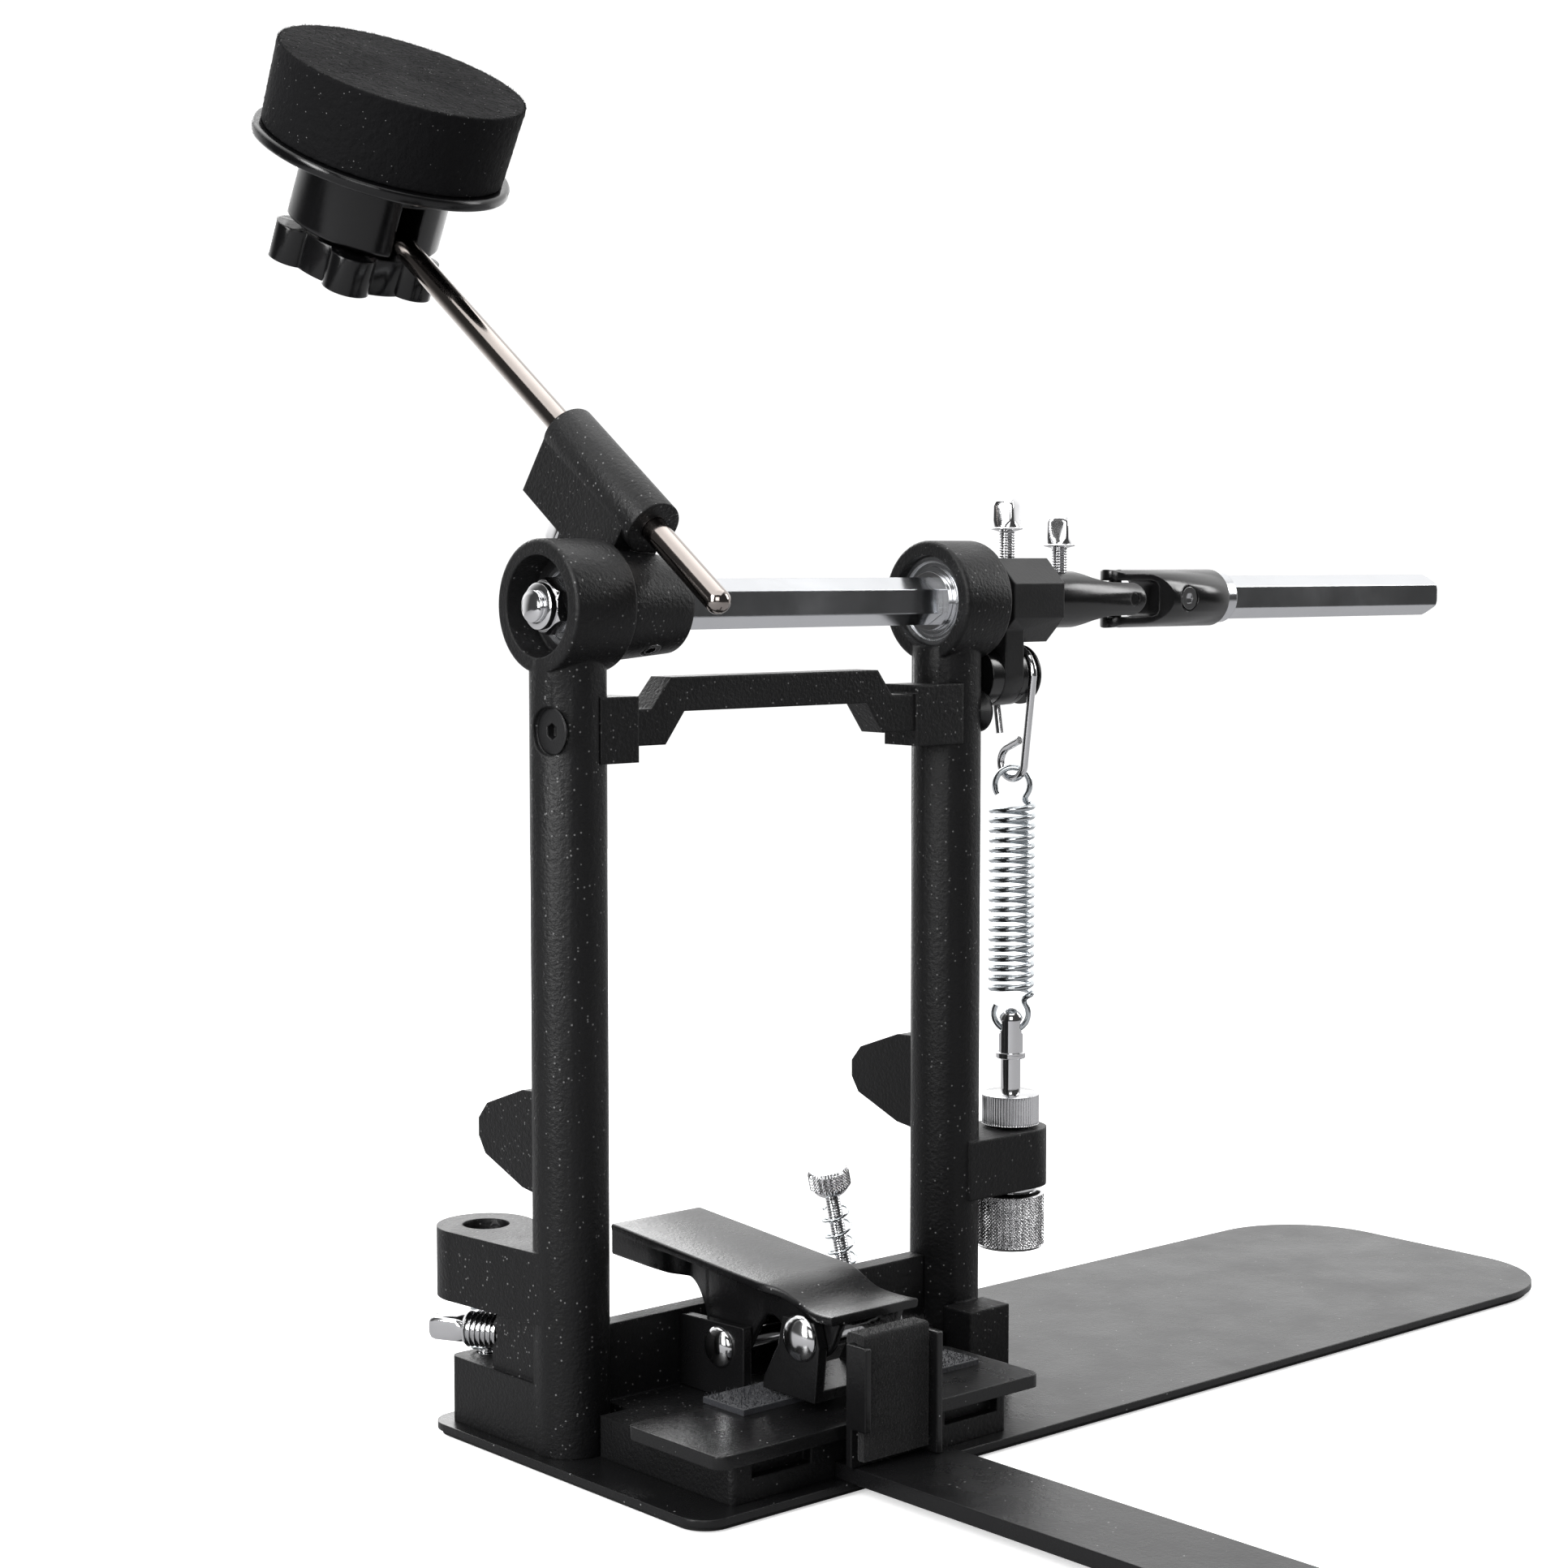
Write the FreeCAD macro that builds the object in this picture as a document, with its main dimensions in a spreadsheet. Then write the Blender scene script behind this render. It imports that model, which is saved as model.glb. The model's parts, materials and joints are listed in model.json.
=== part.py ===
import FreeCAD, Part
import math
import os
import re

import Sketcher
from FreeCAD import Placement, Rotation, Vector

# Beater unit of a direct-drive bass drum pedal.
#
# The origin lies on the floor, under the axle, half-way between the two posts.
# +X runs along the axle towards the drive shaft, +Y towards the player, +Z up.
# The beater strikes a drum on the -Y side.

# Driving dimensions in millimetres and degrees, written to the spreadsheet.
DIMENSIONS = {
    # base plate and rubber mat
    "mat_thickness": 1.2,
    "mat_inset": 1.0,
    "plate_thickness": 2.0,
    "plate_left": 83.0,
    "plate_right": 293.5,
    "plate_front": 70.2,
    "plate_rear": 49.0,
    "left_corner": 8.0,
    "right_corner": 35.0,
    # posts and bearing housings
    "post_spacing": 139.0,
    "post_radius": 10.2,
    "axle_height": 228.3,
    "housing_radius": 17.6,
    "housing_width": 20.0,
    "recess_radius": 13.4,
    "left_recess": 9.5,
    "right_recess": 2.5,
    "block_height": 18.3,
    "block_reach": 43.6,
    "block_width": 18.5,
    "lug_height": 19.2,
    "lug_base": 38.3,
    "lug_reach": 38.8,
    "lug_radius": 13.6,
    "lug_hole": 6.5,
    "fin_thickness": 7.0,
    "spring_lug_radius": 11.0,
    "spring_lug_base": 51.5,
    "spring_lug_height": 17.5,
    "fit_gap": 0.05,
    # bearings, axle and hardware on the axle
    "left_race": 11.0,
    "left_race_width": 7.0,
    "right_race": 13.0,
    "right_race_width": 5.0,
    "axle_flats": 12.0,
    "journal_radius": 4.0,
    "journal_end": 81.2,
    "bushing_radius": 8.5,
    "axle_right": 126.0,
    "nut_flats": 13.0,
    # crossbar
    "bar_front": 9.5,
    "bar_depth": 9.0,
    "bar_low": 191.3,
    "bar_mid": 200.0,
    "bar_top": 209.2,
    "foot_base": 187.0,
    "foot_height": 17.5,
    "screw_z": 195.9,
    "screw_y": 4.5,
    # beater rod and holder
    "rod_x": 47.4,
    "rod_lean": 54.4,
    "rod_radius": 3.5,
    "rod_offset": 21.4,
    "rod_low": 30.9,
    "rod_high": 179.0,
    "barrel_radius": 7.9,
    "barrel_low": 4.9,
    "barrel_high": 50.0,
    "holder_block": 19.0,
    "hub_radius": 15.0,
    "hub_end_radius": 13.2,
    "hub_length": 21.6,
    # beater head
    "head_at": 170.0,
    "head_lean": 27.4,
    "foam_radius": 37.0,
    "foam_base_radius": 36.2,
    "foam_height": 24.0,
    "backing_radius": 38.8,
    "backing_thickness": 3.5,
    "boss_radius": 23.0,
    "boss_depth": 21.5,
    "knob_radius": 18.5,
    "knob_lobe": 7.0,
    "knob_height": 11.0,
    "stud_radius": 6.5,
    # rocker, link and spring
    "rocker_start": 80.4,
    "rocker_arm": 85.2,
    "rocker_arm_thickness": 7.6,
    "rocker_end": 106.5,
    "rocker_flats": 25.0,
    "arm_length": 22.3,
    "arm_radius": 9.0,
    "wire_radius": 1.2,
    "spring_x": 97.5,
    "spring_radius": 7.1,
    "spring_wire": 0.95,
    "spring_low": 109.6,
    "spring_high": 166.5,
    "ring_radius": 5.0,
    "bolt_radius": 3.0,
    # universal joint and drive shaft
    "joint_x": 142.5,
    "yoke_start": 107.1,
    "socket_radius": 8.5,
    "outer_radius": 9.0,
    "outer_start": 156.0,
    "outer_end": 187.0,
    "shaft_end": 300.0,
    # hoop clamp
    "clamp_x": 19.0,
    "jaw_front": 65.0,
    "jaw_block_width": 98.5,
    "jaw_block_height": 11.3,
    "jaw_plate_width": 115.0,
    "jaw_plate_depth": 38.0,
    "jaw_plate_thickness": 3.6,
    "web_height": 35.5,
    "lever_width": 33.0,
    "lever_throat": 17.4,
    "clamp_throat": 24.0,
    "clamp_width": 30.0,
    "lever_pin_y": 19.0,
    "lever_pin_z": 28.5,
    "shoe_pin_y": 52.0,
    "shoe_pin_z": 37.5,
    "pin_radius": 3.0,
    # key bolt and spurs
    "key_radius": 4.9,
    "key_splay": 30.4,
    "key_height": 30.6,
    "spur_radius": 2.5,
    "spur_head_radius": 6.0,
    "spur_lean": 12.8,
    # stabiliser
    "tongue_left": 33.5,
    "tongue_width": 31.0,
    "tongue_thickness": 4.3,
    "tongue_end": 230.0,
    "bracket_left": 35.0,
    "bracket_width": 27.5,
    "bracket_top": 40.0,
    "sheet": 2.0,
    "felt_thickness": 2.4,
}

PLATE_TOP = "(mat_thickness + plate_thickness)"
POST_X = "(post_spacing / 2)"
CENTRE = ("0", "0", "axle_height")

document = FreeCAD.newDocument("bass_drum_pedal")
sheet = document.addObject("Spreadsheet::Sheet", "dims")
for row, (alias, value) in enumerate(DIMENSIONS.items(), start=1):
    sheet.set("A%d" % row, alias)
    sheet.set("B%d" % row, str(value))
    sheet.setAlias("B%d" % row, alias)
document.recompute()
ruler = document.addObject("Part::Vertex", "ruler")
subparts = []


# ---------------------------------------------------------------- expressions
def formula(text):
    """Turn the sheet's aliases in a text into spreadsheet references."""
    return re.sub(r"[a-z][a-z_]+", lambda word: refer(word.group(0)), str(text))


def refer(word):
    return "dims." + word if word in DIMENSIONS else word


def number(text):
    """The present value of a formula, read off a helper vertex."""
    ruler.setExpression("X", formula(text))
    ruler.recompute()
    return ruler.X.Value


def bind(item, **sizes):
    """Bind properties to formulas."""
    for name, text in sizes.items():
        item.setExpression(name, formula(text))
    return item


# ------------------------------------------------------------------ placement
def turned(axis, angle):
    return Rotation(Vector(*axis), angle)


X_AXIS = (1, 0, 0)
Y_AXIS = (0, 1, 0)
Z_AXIS = (0, 0, 1)
TOWARDS = {
    "z": Rotation(),
    "-z": turned(X_AXIS, 180),
    "x": turned(Y_AXIS, 90),
    "-x": turned(Y_AXIS, -90),
    "y": turned(X_AXIS, -90),
    "-y": turned(X_AXIS, 90),
}


def put(item, at, rotation=None):
    """Place an item at three formulas, with an optional rotation."""
    if rotation is not None:
        item.Placement = Placement(Vector(), rotation)
    for letter, text in zip("xyz", at):
        item.setExpression("Placement.Base." + letter, formula(text))
    return item


# ----------------------------------------------------------------- primitives
def cylinder(radius, height, at, towards="z"):
    item = bind(document.addObject("Part::Cylinder", "cylinder"), Radius=radius, Height=height)
    return put(item, at, TOWARDS[towards])


def cone(radius_start, radius_end, height, at, towards="z"):
    item = bind(document.addObject("Part::Cone", "cone"), Radius1=radius_start,
                Radius2=radius_end, Height=height)
    return put(item, at, TOWARDS[towards])


def box(length, width, height, at):
    item = bind(document.addObject("Part::Box", "box"), Length=length, Width=width, Height=height)
    return put(item, at)


def ball(radius, at):
    return put(bind(document.addObject("Part::Sphere", "ball"), Radius=radius), at)


def ring(radius, wire, at, rotation):
    item = bind(document.addObject("Part::Torus", "ring"), Radius1=radius, Radius2=wire)
    return put(item, at, rotation)


def prism(sides, flats, height, at, towards="z", spin=0):
    """Regular prism given by its width across flats."""
    item = document.addObject("Part::Prism", "prism")
    item.Polygon = sides
    half_angle = 180 / sides
    bind(item, Circumradius="(%s) / 2 / cos(%r)" % (flats, half_angle), Height=height)
    return put(item, at, TOWARDS[towards].multiply(turned(Z_AXIS, spin)))


def fuse(*items):
    result = document.addObject("Part::MultiFuse", "fuse")
    result.Shapes = list(items)
    result.Refine = True
    return result


def cut(base, *tools):
    result = document.addObject("Part::Cut", "cut")
    result.Base = base
    result.Tool = tools[0] if len(tools) == 1 else fuse(*tools)
    return result


def group(*items):
    """Separate identical pieces kept in one file."""
    result = document.addObject("Part::Compound", "group")
    result.Links = list(items)
    return result


def round_edges(base, radius, choose):
    """Fillet the edges that a test picks."""
    document.recompute()
    result = document.addObject("Part::Fillet", "fillet")
    result.Base = base
    size = number(radius)
    picked = [index for index, edge in enumerate(base.Shape.Edges, start=1) if choose(edge)]
    result.Edges = [(index, size, size) for index in picked]
    return result


def upright(edge):
    return abs(edge.tangentAt(edge.FirstParameter).z) > 0.9


def subpart(label, item):
    item.Label = label
    subparts.append(item)
    return item


# ---------------------------------------------------------- sketched outlines
def sketch_on(body, role, points):
    """Closed outline of straight lines, each corner bound to two formulas."""
    sketch = body.newObject("Sketcher::SketchObject", "outline")
    plane = [item for item in body.Origin.OriginFeatures if item.Role == role][0]
    sketch.AttachmentSupport = [(plane, "")]
    sketch.MapMode = "FlatFace"
    corners = [Vector(number(first), number(second), 0) for first, second in points]
    count = len(corners)
    for index in range(count):
        sketch.addGeometry(Part.LineSegment(corners[index], corners[(index + 1) % count]), False)
    for index in range(count):
        sketch.addConstraint(Sketcher.Constraint("Coincident", index, 2, (index + 1) % count, 1))
    for index, (first, second) in enumerate(points):
        for kind, text in (("DistanceX", first), ("DistanceY", second)):
            which = sketch.addConstraint(Sketcher.Constraint(kind, -1, 1, index, 1, number(text)))
            sketch.setExpression("Constraints[%d]" % which, formula(text))
    return sketch


def plate(role, points, thickness, at=("0", "0", "0")):
    """Body padded from an outline; XZ outlines grow towards -Y, others towards + their axis."""
    body = document.addObject("PartDesign::Body", "plate")
    pad = body.newObject("PartDesign::Pad", "pad")
    pad.Profile = sketch_on(body, role, points)
    bind(pad, Length=thickness)
    put(body, at)
    return body


def bent_wire(label, radius, stretches):
    """Round wire swept along lines and arcs: [start, end] or [start, middle, end] points."""
    edges = []
    for stretch in stretches:
        points = [Vector(*point) for point in stretch]
        curve = Part.LineSegment(*points) if len(points) == 2 else Part.Arc(*points)
        edges.append(curve.toShape())
    path = Part.Wire(edges)
    start = path.Edges[0]
    direction = start.tangentAt(start.FirstParameter)
    profile = Part.Wire([Part.Circle(start.valueAt(start.FirstParameter), direction, radius).toShape()])
    item = document.addObject("Part::Feature", "wire")
    item.Shape = path.makePipeShell([profile], True, True)
    return subpart(label, item)


# ----------------------------------------------------------------- the pieces
def rounded_sheet(inset, low, thickness):
    """The base plate's outline with small left and large right corners."""
    left = "-plate_left + " + inset
    right = "plate_right - " + inset
    front = "-plate_front + " + inset
    rear = "plate_rear - " + inset
    outline = [(left, front), (right, front), (right, rear), (left, rear)]
    body = plate("XY_Plane", outline, thickness, ("0", "0", low))
    document.recompute()
    pad = body.Tip
    middle = number("(plate_right - plate_left) / 2")
    for radius, side in (("left_corner", -1), ("right_corner", 1)):
        names = []
        for index, edge in enumerate(pad.Shape.Edges, start=1):
            on_side = (edge.CenterOfMass.x - middle) * side > 0
            if upright(edge) and on_side and edge.Length < number(thickness) + 0.1:
                names.append("Edge%d" % index)
        corner = body.newObject("PartDesign::Fillet", "corner")
        corner.Base = (pad, names)
        bind(corner, Radius=radius)
        document.recompute()
        pad = corner
    return body


def spur_places():
    return [("-" + POST_X, "lug_reach"), (POST_X, "lug_reach")]


def base_screw_places():
    """Screws up through the plate into the posts and the clamp base."""
    places = [(side + POST_X, y) for side in ("-", "") for y in ("0", "20")]
    return places + [("-55", "-38"), ("16", "-38")]


def make_base():
    holes = [cylinder("6", "4", (x, y, "-1")) for x, y in spur_places()]
    subpart("rubber_mat", cut(rounded_sheet("mat_inset", "0", "mat_thickness"), *holes))
    holes = [cylinder("4", "6", (x, y, "-1")) for x, y in spur_places()]
    for x, y in base_screw_places():
        holes.append(cone("4.75", "2.55", "plate_thickness", (x, y, "mat_thickness")))
    subpart("base_plate", cut(rounded_sheet("0", "mat_thickness", "plate_thickness"), *holes))
    screws = []
    for x, y in base_screw_places():
        head = cone("4.6", "2.5", "plate_thickness", (x, y, "mat_thickness"))
        shank = cylinder("2.5", "7", (x, y, PLATE_TOP))
        socket = prism(6, "3", "1.6", (x, y, "mat_thickness - 0.1"))
        screws.append(cut(fuse(head, shank), socket))
    subpart("base_screws", group(*screws))


def screw_holes(x, places):
    """Blind holes for the base screws under a casting at this x."""
    return [cylinder("2.55", "7.5", (x, y, PLATE_TOP + " - 0.1")) for y in places]


def fin(x):
    outline = [("4", "99"), ("17", "98.3"), ("33", "92.6"), ("37", "88"), ("37", "83"), ("34", "78.5"),
               ("17", "71.8"), ("4", "70")]
    return plate("YZ_Plane", outline, "fin_thickness", (x + " - fin_thickness / 2", "0", "0"))


def rear_block(x):
    body = box("block_width", "block_reach", "block_height",
               (x + " - block_width / 2", "0", PLATE_TOP))
    return round_edges(body, "3", lambda edge: edge.CenterOfMass.y > number("block_reach") - 0.5
                       and abs(edge.tangentAt(edge.FirstParameter).x) < 0.5)


def key_axis():
    """Level axis of the key bolt, splayed outwards from the rib."""
    return turned(Z_AXIS, number("key_splay")).multiply(TOWARDS["y"])


def right_spur():
    """Floor point and lean of the right spur."""
    return (POST_X + " + 0.8", "lug_reach", "0"), turned(Y_AXIS, -number("spur_lean"))


def make_left_post():
    x = "-" + POST_X
    face = x + " - housing_width / 2"
    tube = cylinder("post_radius", "axle_height - 13 - " + PLATE_TOP, (x, "0", PLATE_TOP))
    housing = cylinder("housing_radius", "housing_width", (face, "0", "axle_height"), "x")
    tongue = plate("XY_Plane", [("-lug_radius", "lug_reach"), ("-post_radius", "0"), ("post_radius", "0"),
                                ("lug_radius", "lug_reach")], "lug_height", (x, "0", "lug_base"))
    tip = cylinder("lug_radius", "lug_height", (x, "lug_reach", "lug_base"))
    rib = plate("YZ_Plane", [("0", "20"), ("25", "20"), ("25", "33"), ("21", "39"), ("0", "39")], "15",
                (x + " - 8", "0", "0"))
    solid = fuse(round_edges(housing, "1.2", lambda edge: edge.Length > 100), tube, tongue, tip,
                 rear_block(x), rib, fin(x))
    head_y = "-screw_y"
    key_hole = put(bind(document.addObject("Part::Cylinder", "cylinder"), Radius="key_radius + fit_gap",
                        Height="24"), ("-66.4", "13.8", "key_height"), key_axis())
    tools = [
        cylinder("recess_radius", "left_recess + 1", (face + " - 1", "0", "axle_height"), "x"),
        cylinder("left_race + fit_gap", "left_race_width + left_recess",
                 (face, "0", "axle_height"), "x"),
        cylinder("8", "housing_width + 2", (face + " - 1", "0", "axle_height"), "x"),
        cylinder("lug_hole", "40", (x, "lug_reach", "lug_base - 1")),
        cylinder("2.9", "30", (x, "lug_reach", "0")),
        cylinder("6.5", "6", ("-84.2", head_y, "screw_z"), "x"),
        cone("6.3", "3.1", "3.2", ("-78.25", head_y, "screw_z"), "x"),
        cylinder("3.1", "30", ("-80", head_y, "screw_z"), "x"),
        key_hole,
    ] + screw_holes(x, ("0", "20"))
    subpart("left_post", cut(solid, *tools))


def make_right_post():
    x = POST_X
    face = "(%s - housing_width / 2 + 1.5)" % x
    width = "(housing_width - 1.5)"
    tube = cylinder("post_radius", "axle_height - 13 - " + PLATE_TOP, (x, "0", PLATE_TOP))
    housing = cylinder("housing_radius", width, (face, "0", "axle_height"), "x")
    lug = plate("XY_Plane", [("0", "-spring_lug_radius"), ("spring_x - " + x, "-spring_lug_radius"),
                             ("spring_x - " + x, "spring_lug_radius"), ("0", "spring_lug_radius")],
                "spring_lug_height", (x, "0", "spring_lug_base"))
    lug_tip = cylinder("spring_lug_radius", "spring_lug_height", ("spring_x", "0", "spring_lug_base"))
    front_foot = box("16", "11", "block_height", (x + " - 9.25", "-20.5", PLATE_TOP))
    spur_at, spur_turn = right_spur()
    spur_hole = put(bind(document.addObject("Part::Cylinder", "cylinder"), Radius="2.9", Height="39"),
                    spur_at, spur_turn)
    solid = fuse(round_edges(housing, "1.2", lambda edge: edge.Length > 100), tube, lug, lug_tip,
                 rear_block(x), fin(x), front_foot)
    head_y = "-screw_y"
    tools = [
        cylinder("recess_radius", "right_recess + 1", (face + " - 1", "0", "axle_height"), "x"),
        cylinder("right_race + fit_gap", "right_recess + right_race_width",
                 (face, "0", "axle_height"), "x"),
        cylinder("10.5", "housing_width + 2", (face + " - 1", "0", "axle_height"), "x"),
        cylinder("bolt_radius + 0.4", "30", ("spring_x", "0", "spring_lug_base - 1")),
        spur_hole,
        cylinder("6.5", "6", ("78.2", head_y, "screw_z"), "x"),
        cone("3.1", "6.3", "3.2", ("75.05", head_y, "screw_z"), "x"),
        cylinder("3.1", "30", ("50", head_y, "screw_z"), "x"),
    ] + screw_holes(x, ("0", "20"))
    subpart("right_post", cut(solid, *tools))


def post_clearance(low, height):
    """Two cylinders that keep a casting off the posts."""
    return [cylinder("post_radius + fit_gap", height, (side + POST_X, "0", low)) for side in ("-", "")]


def make_crossbar():
    outline = [("-55", "bar_low"), ("-44.3", "bar_low"), ("-37.8", "bar_mid"), ("28.8", "bar_mid"),
               ("35.1", "bar_low"), ("50", "bar_low"), ("50", "bar_mid + 2"), ("38.5", "bar_mid + 2"),
               ("33", "bar_top"), ("-42", "bar_top"), ("-49", "bar_mid + 1"), ("-55", "bar_mid + 1")]
    beam = plate("XZ_Plane", outline, "bar_depth", ("0", "bar_depth - bar_front", "0"))
    left_foot = box("12.6", "13.8", "foot_height", ("-66.5", "-10.2", "foot_base"))
    right_foot = box("18.5", "13.8", "foot_height", ("48", "-10.2", "foot_base"))
    tools = post_clearance("foot_base - 1", "foot_height + 2")
    tools.append(cylinder("3.1", "140", ("-70", "-screw_y", "screw_z"), "x"))
    beam_keeper = box("104", "20", "20", ("-52", "-14", "foot_base - 1"))
    holes = cut(fuse(*tools), beam_keeper)
    subpart("crossbar", cut(fuse(beam, left_foot, right_foot), holes))
    screws = []
    for side, start, towards in (("-", "-78.2", "x"), ("", "78.2", "-x")):
        head = cone("6.2", "3", "3.2", (start, "-screw_y", "screw_z"), towards)
        shank = cylinder("3", "25.5", (start, "-screw_y", "screw_z"), towards)
        socket_start = start + (" - 1" if side else " + 1")
        socket = prism(6, "4", "3.4", (socket_start, "-screw_y", "screw_z"), towards)
        screws.append(cut(fuse(head, shank), socket))
    subpart("crossbar_screws", group(*screws))


def bearing(label, outer, inner, width, at):
    """Ring with a shallow shield groove in both faces."""
    race = cylinder(outer, width, at, "x")
    bore = cylinder(inner, width + " + 2", (at[0] + " - 1", at[1], at[2]), "x")
    tools = [bore]
    for start in (at[0] + " - 0.5", "%s + %s - 0.5" % (at[0], width)):
        band = cylinder("(%s) - 1.6" % outer, "1", (start, at[1], at[2]), "x")
        core = cylinder("(%s) + 1.6" % inner, "1", (start, at[1], at[2]), "x")
        tools.append(cut(band, core))
    subpart(label, cut(race, *tools))


def make_axle():
    left_bearing_x = "(-%s - housing_width / 2 + left_recess)" % POST_X
    right_bearing_x = "(%s - housing_width / 2 + 1.5 + right_recess)" % POST_X
    bearing("left_bearing", "left_race", "journal_radius + fit_gap", "left_race_width",
            (left_bearing_x, "0", "axle_height"))
    bearing("right_bearing", "right_race", "bushing_radius + fit_gap", "right_race_width",
            (right_bearing_x, "0", "axle_height"))
    shoulder = left_bearing_x + " + left_race_width + 0.1"
    bar = prism(6, "axle_flats", "axle_right - (%s)" % shoulder, (shoulder, "0", "axle_height"), "x", 0)
    journal = cylinder("journal_radius", "journal_end + %s" % shoulder,
                       ("-journal_end", "0", "axle_height"), "x")
    subpart("axle", fuse(bar, journal))
    washer_x = left_bearing_x + " - 1.7"
    washer = cylinder("8", "1.5", (washer_x, "0", "axle_height"), "x")
    washer_hole = cylinder("journal_radius + fit_gap", "4", (washer_x + " - 1", "0", "axle_height"), "x")
    subpart("axle_washer", cut(washer, washer_hole))
    body = prism(6, "nut_flats", "5.2", (washer_x + " - 5.3", "0", "axle_height"), "x")
    collar = cylinder("6.4", "2.4", (washer_x + " - 7.7", "0", "axle_height"), "x")
    thread = cylinder("journal_radius + fit_gap", "12", (washer_x + " - 10", "0", "axle_height"), "x")
    subpart("axle_nut", cut(fuse(body, collar), thread))
    sleeve = cylinder("bushing_radius", "9", (right_bearing_x + " - 1.5", "0", "axle_height"), "x")
    socket = prism(6, "axle_flats + 0.1", "12", (right_bearing_x + " - 3", "0", "axle_height"), "x")
    subpart("hex_bushing", cut(sleeve, socket))


def hex_socket(start, length):
    return prism(6, "axle_flats + 0.1", length, (start, "0", "axle_height"), "x")


def key_screw(radius, length, at, rotation, label=None):
    """Square-headed screw with a flange; its tip is at the given point."""
    shank = cylinder(radius, length, ("0", "0", "0"))
    flange = cylinder("4.6", "1", ("0", "0", length))
    head = prism(4, "6.35", "8.5", ("0", "0", length + " + 1"))
    dome = cone("4.6", "2.8", "1.2", ("0", "0", length + " + 9.5"))
    item = put(fuse(shank, flange, head, cut(dome, box("20", "20", "2", ("-10", "-10", "0")))), at, rotation)
    return subpart(label, item) if label else item


# ------------------------------------------------------------------- beater
def along_rod(x, y, z):
    """Place in the model of a point in the holder's frame, whose Z runs along the rod."""
    return ("%s - rod_x" % x,
            "(%s) * cos(rod_lean) + (%s) * sin(rod_lean)" % (y, z),
            "axle_height - (%s) * sin(rod_lean) + (%s) * cos(rod_lean)" % (y, z))


def make_holder():
    lean = turned(X_AXIS, -number("rod_lean"))
    centre = along_rod("0", "0", "0")
    barrel = cylinder("barrel_radius", "barrel_high - barrel_low", ("0", "-rod_offset", "barrel_low"))
    block = box("2 * barrel_radius - 0.6", "holder_block", "barrel_high - 8",
                ("0.3 - barrel_radius", "-rod_offset", "8"))
    hub = cone("hub_radius", "hub_end_radius", "hub_length", ("-11.5", "0", "0"), "x")
    bore = cylinder("rod_radius + fit_gap", "60", ("0", "-rod_offset", "0"))
    clamp_hole = cylinder("2.55", "24", ("0", "-rod_offset", "37"), "y")
    shell = put(cut(fuse(barrel, block, hub), bore, clamp_hole), centre, lean)
    below = turned(X_AXIS, 150)
    set_hole = put(bind(document.addObject("Part::Cylinder", "cylinder"), Radius="3.05", Height="20"),
                   centre, below)
    subpart("beater_holder", cut(shell, hex_socket("-rod_x - 14", "28"), set_hole))
    grub = cut(cylinder("3", "7.8", ("0", "0", "6.1")), prism(6, "3", "4", ("0", "0", "11")))
    subpart("holder_set_screw", put(fuse(grub, cylinder("1.4", "0.5", ("0", "0", "6.05"))), centre, below))
    outward = turned(X_AXIS, -90 - number("rod_lean"))
    key_screw("2.5", "15.8", along_rod("0", "0.02 + rod_radius - rod_offset", "37"), outward,
              "rod_clamp_screw")
    shank = cylinder("rod_radius", "rod_high + rod_low - rod_radius",
                     ("0", "-rod_offset", "rod_radius - rod_low"))
    tip = ball("rod_radius", ("0", "-rod_offset", "rod_radius - rod_low"))
    subpart("beater_rod", put(fuse(shank, tip), centre, lean))


def make_head():
    tilt = turned(X_AXIS, number("head_lean"))
    pivot = along_rod("0", "-rod_offset", "head_at")
    rim = round_edges(cylinder("backing_radius", "backing_thickness", ("0", "0", "14")), "1.2",
                      lambda edge: edge.Length > 100)
    boss = round_edges(cylinder("boss_radius", "boss_depth + 1", ("0", "0", "14 - boss_depth")), "1.5",
                       lambda edge: edge.Length > 100 and edge.CenterOfMass.z < 0)
    slot = box("7.8", "80", "16.1", ("-3.9", "-40", "-7.6"))
    pocket = cylinder("stud_radius + fit_gap", "22", ("0", "0", "-9"))
    subpart("beater_backing", put(cut(fuse(rim, boss), slot, pocket), pivot, tilt))
    cushion = round_edges(cone("foam_base_radius", "foam_radius", "foam_height", ("0", "0", "17.6")), "2.5",
                          lambda edge: edge.Length > 100 and edge.CenterOfMass.z > 30)
    subpart("beater_foam", put(group(cushion), pivot, tilt))
    stud = cylinder("stud_radius", "17", ("0", "0", "-7.2"))
    thread = cylinder("4", "12", ("0", "0", "-19"))
    window = box("7.2", "20", "10.2", ("-3.6", "-10", "-5.1"))
    subpart("beater_eye_stud", put(cut(fuse(stud, thread), window), pivot, tilt))
    core = cylinder("knob_radius + 0.6", "knob_height", ("0", "0", "-9.5 - knob_height"))
    collar = cylinder("12", "2.5", ("0", "0", "-10.3"))
    lobes = [cylinder("knob_lobe", "knob_height",
                      ("knob_radius * cos(%d)" % angle, "knob_radius * sin(%d)" % angle,
                       "-9.5 - knob_height")) for angle in range(18, 378, 72)]
    hole = cylinder("4.05", "14", ("0", "0", "-19.4"))
    subpart("beater_knob", put(cut(fuse(core, collar, *lobes), hole), pivot, tilt))


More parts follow.
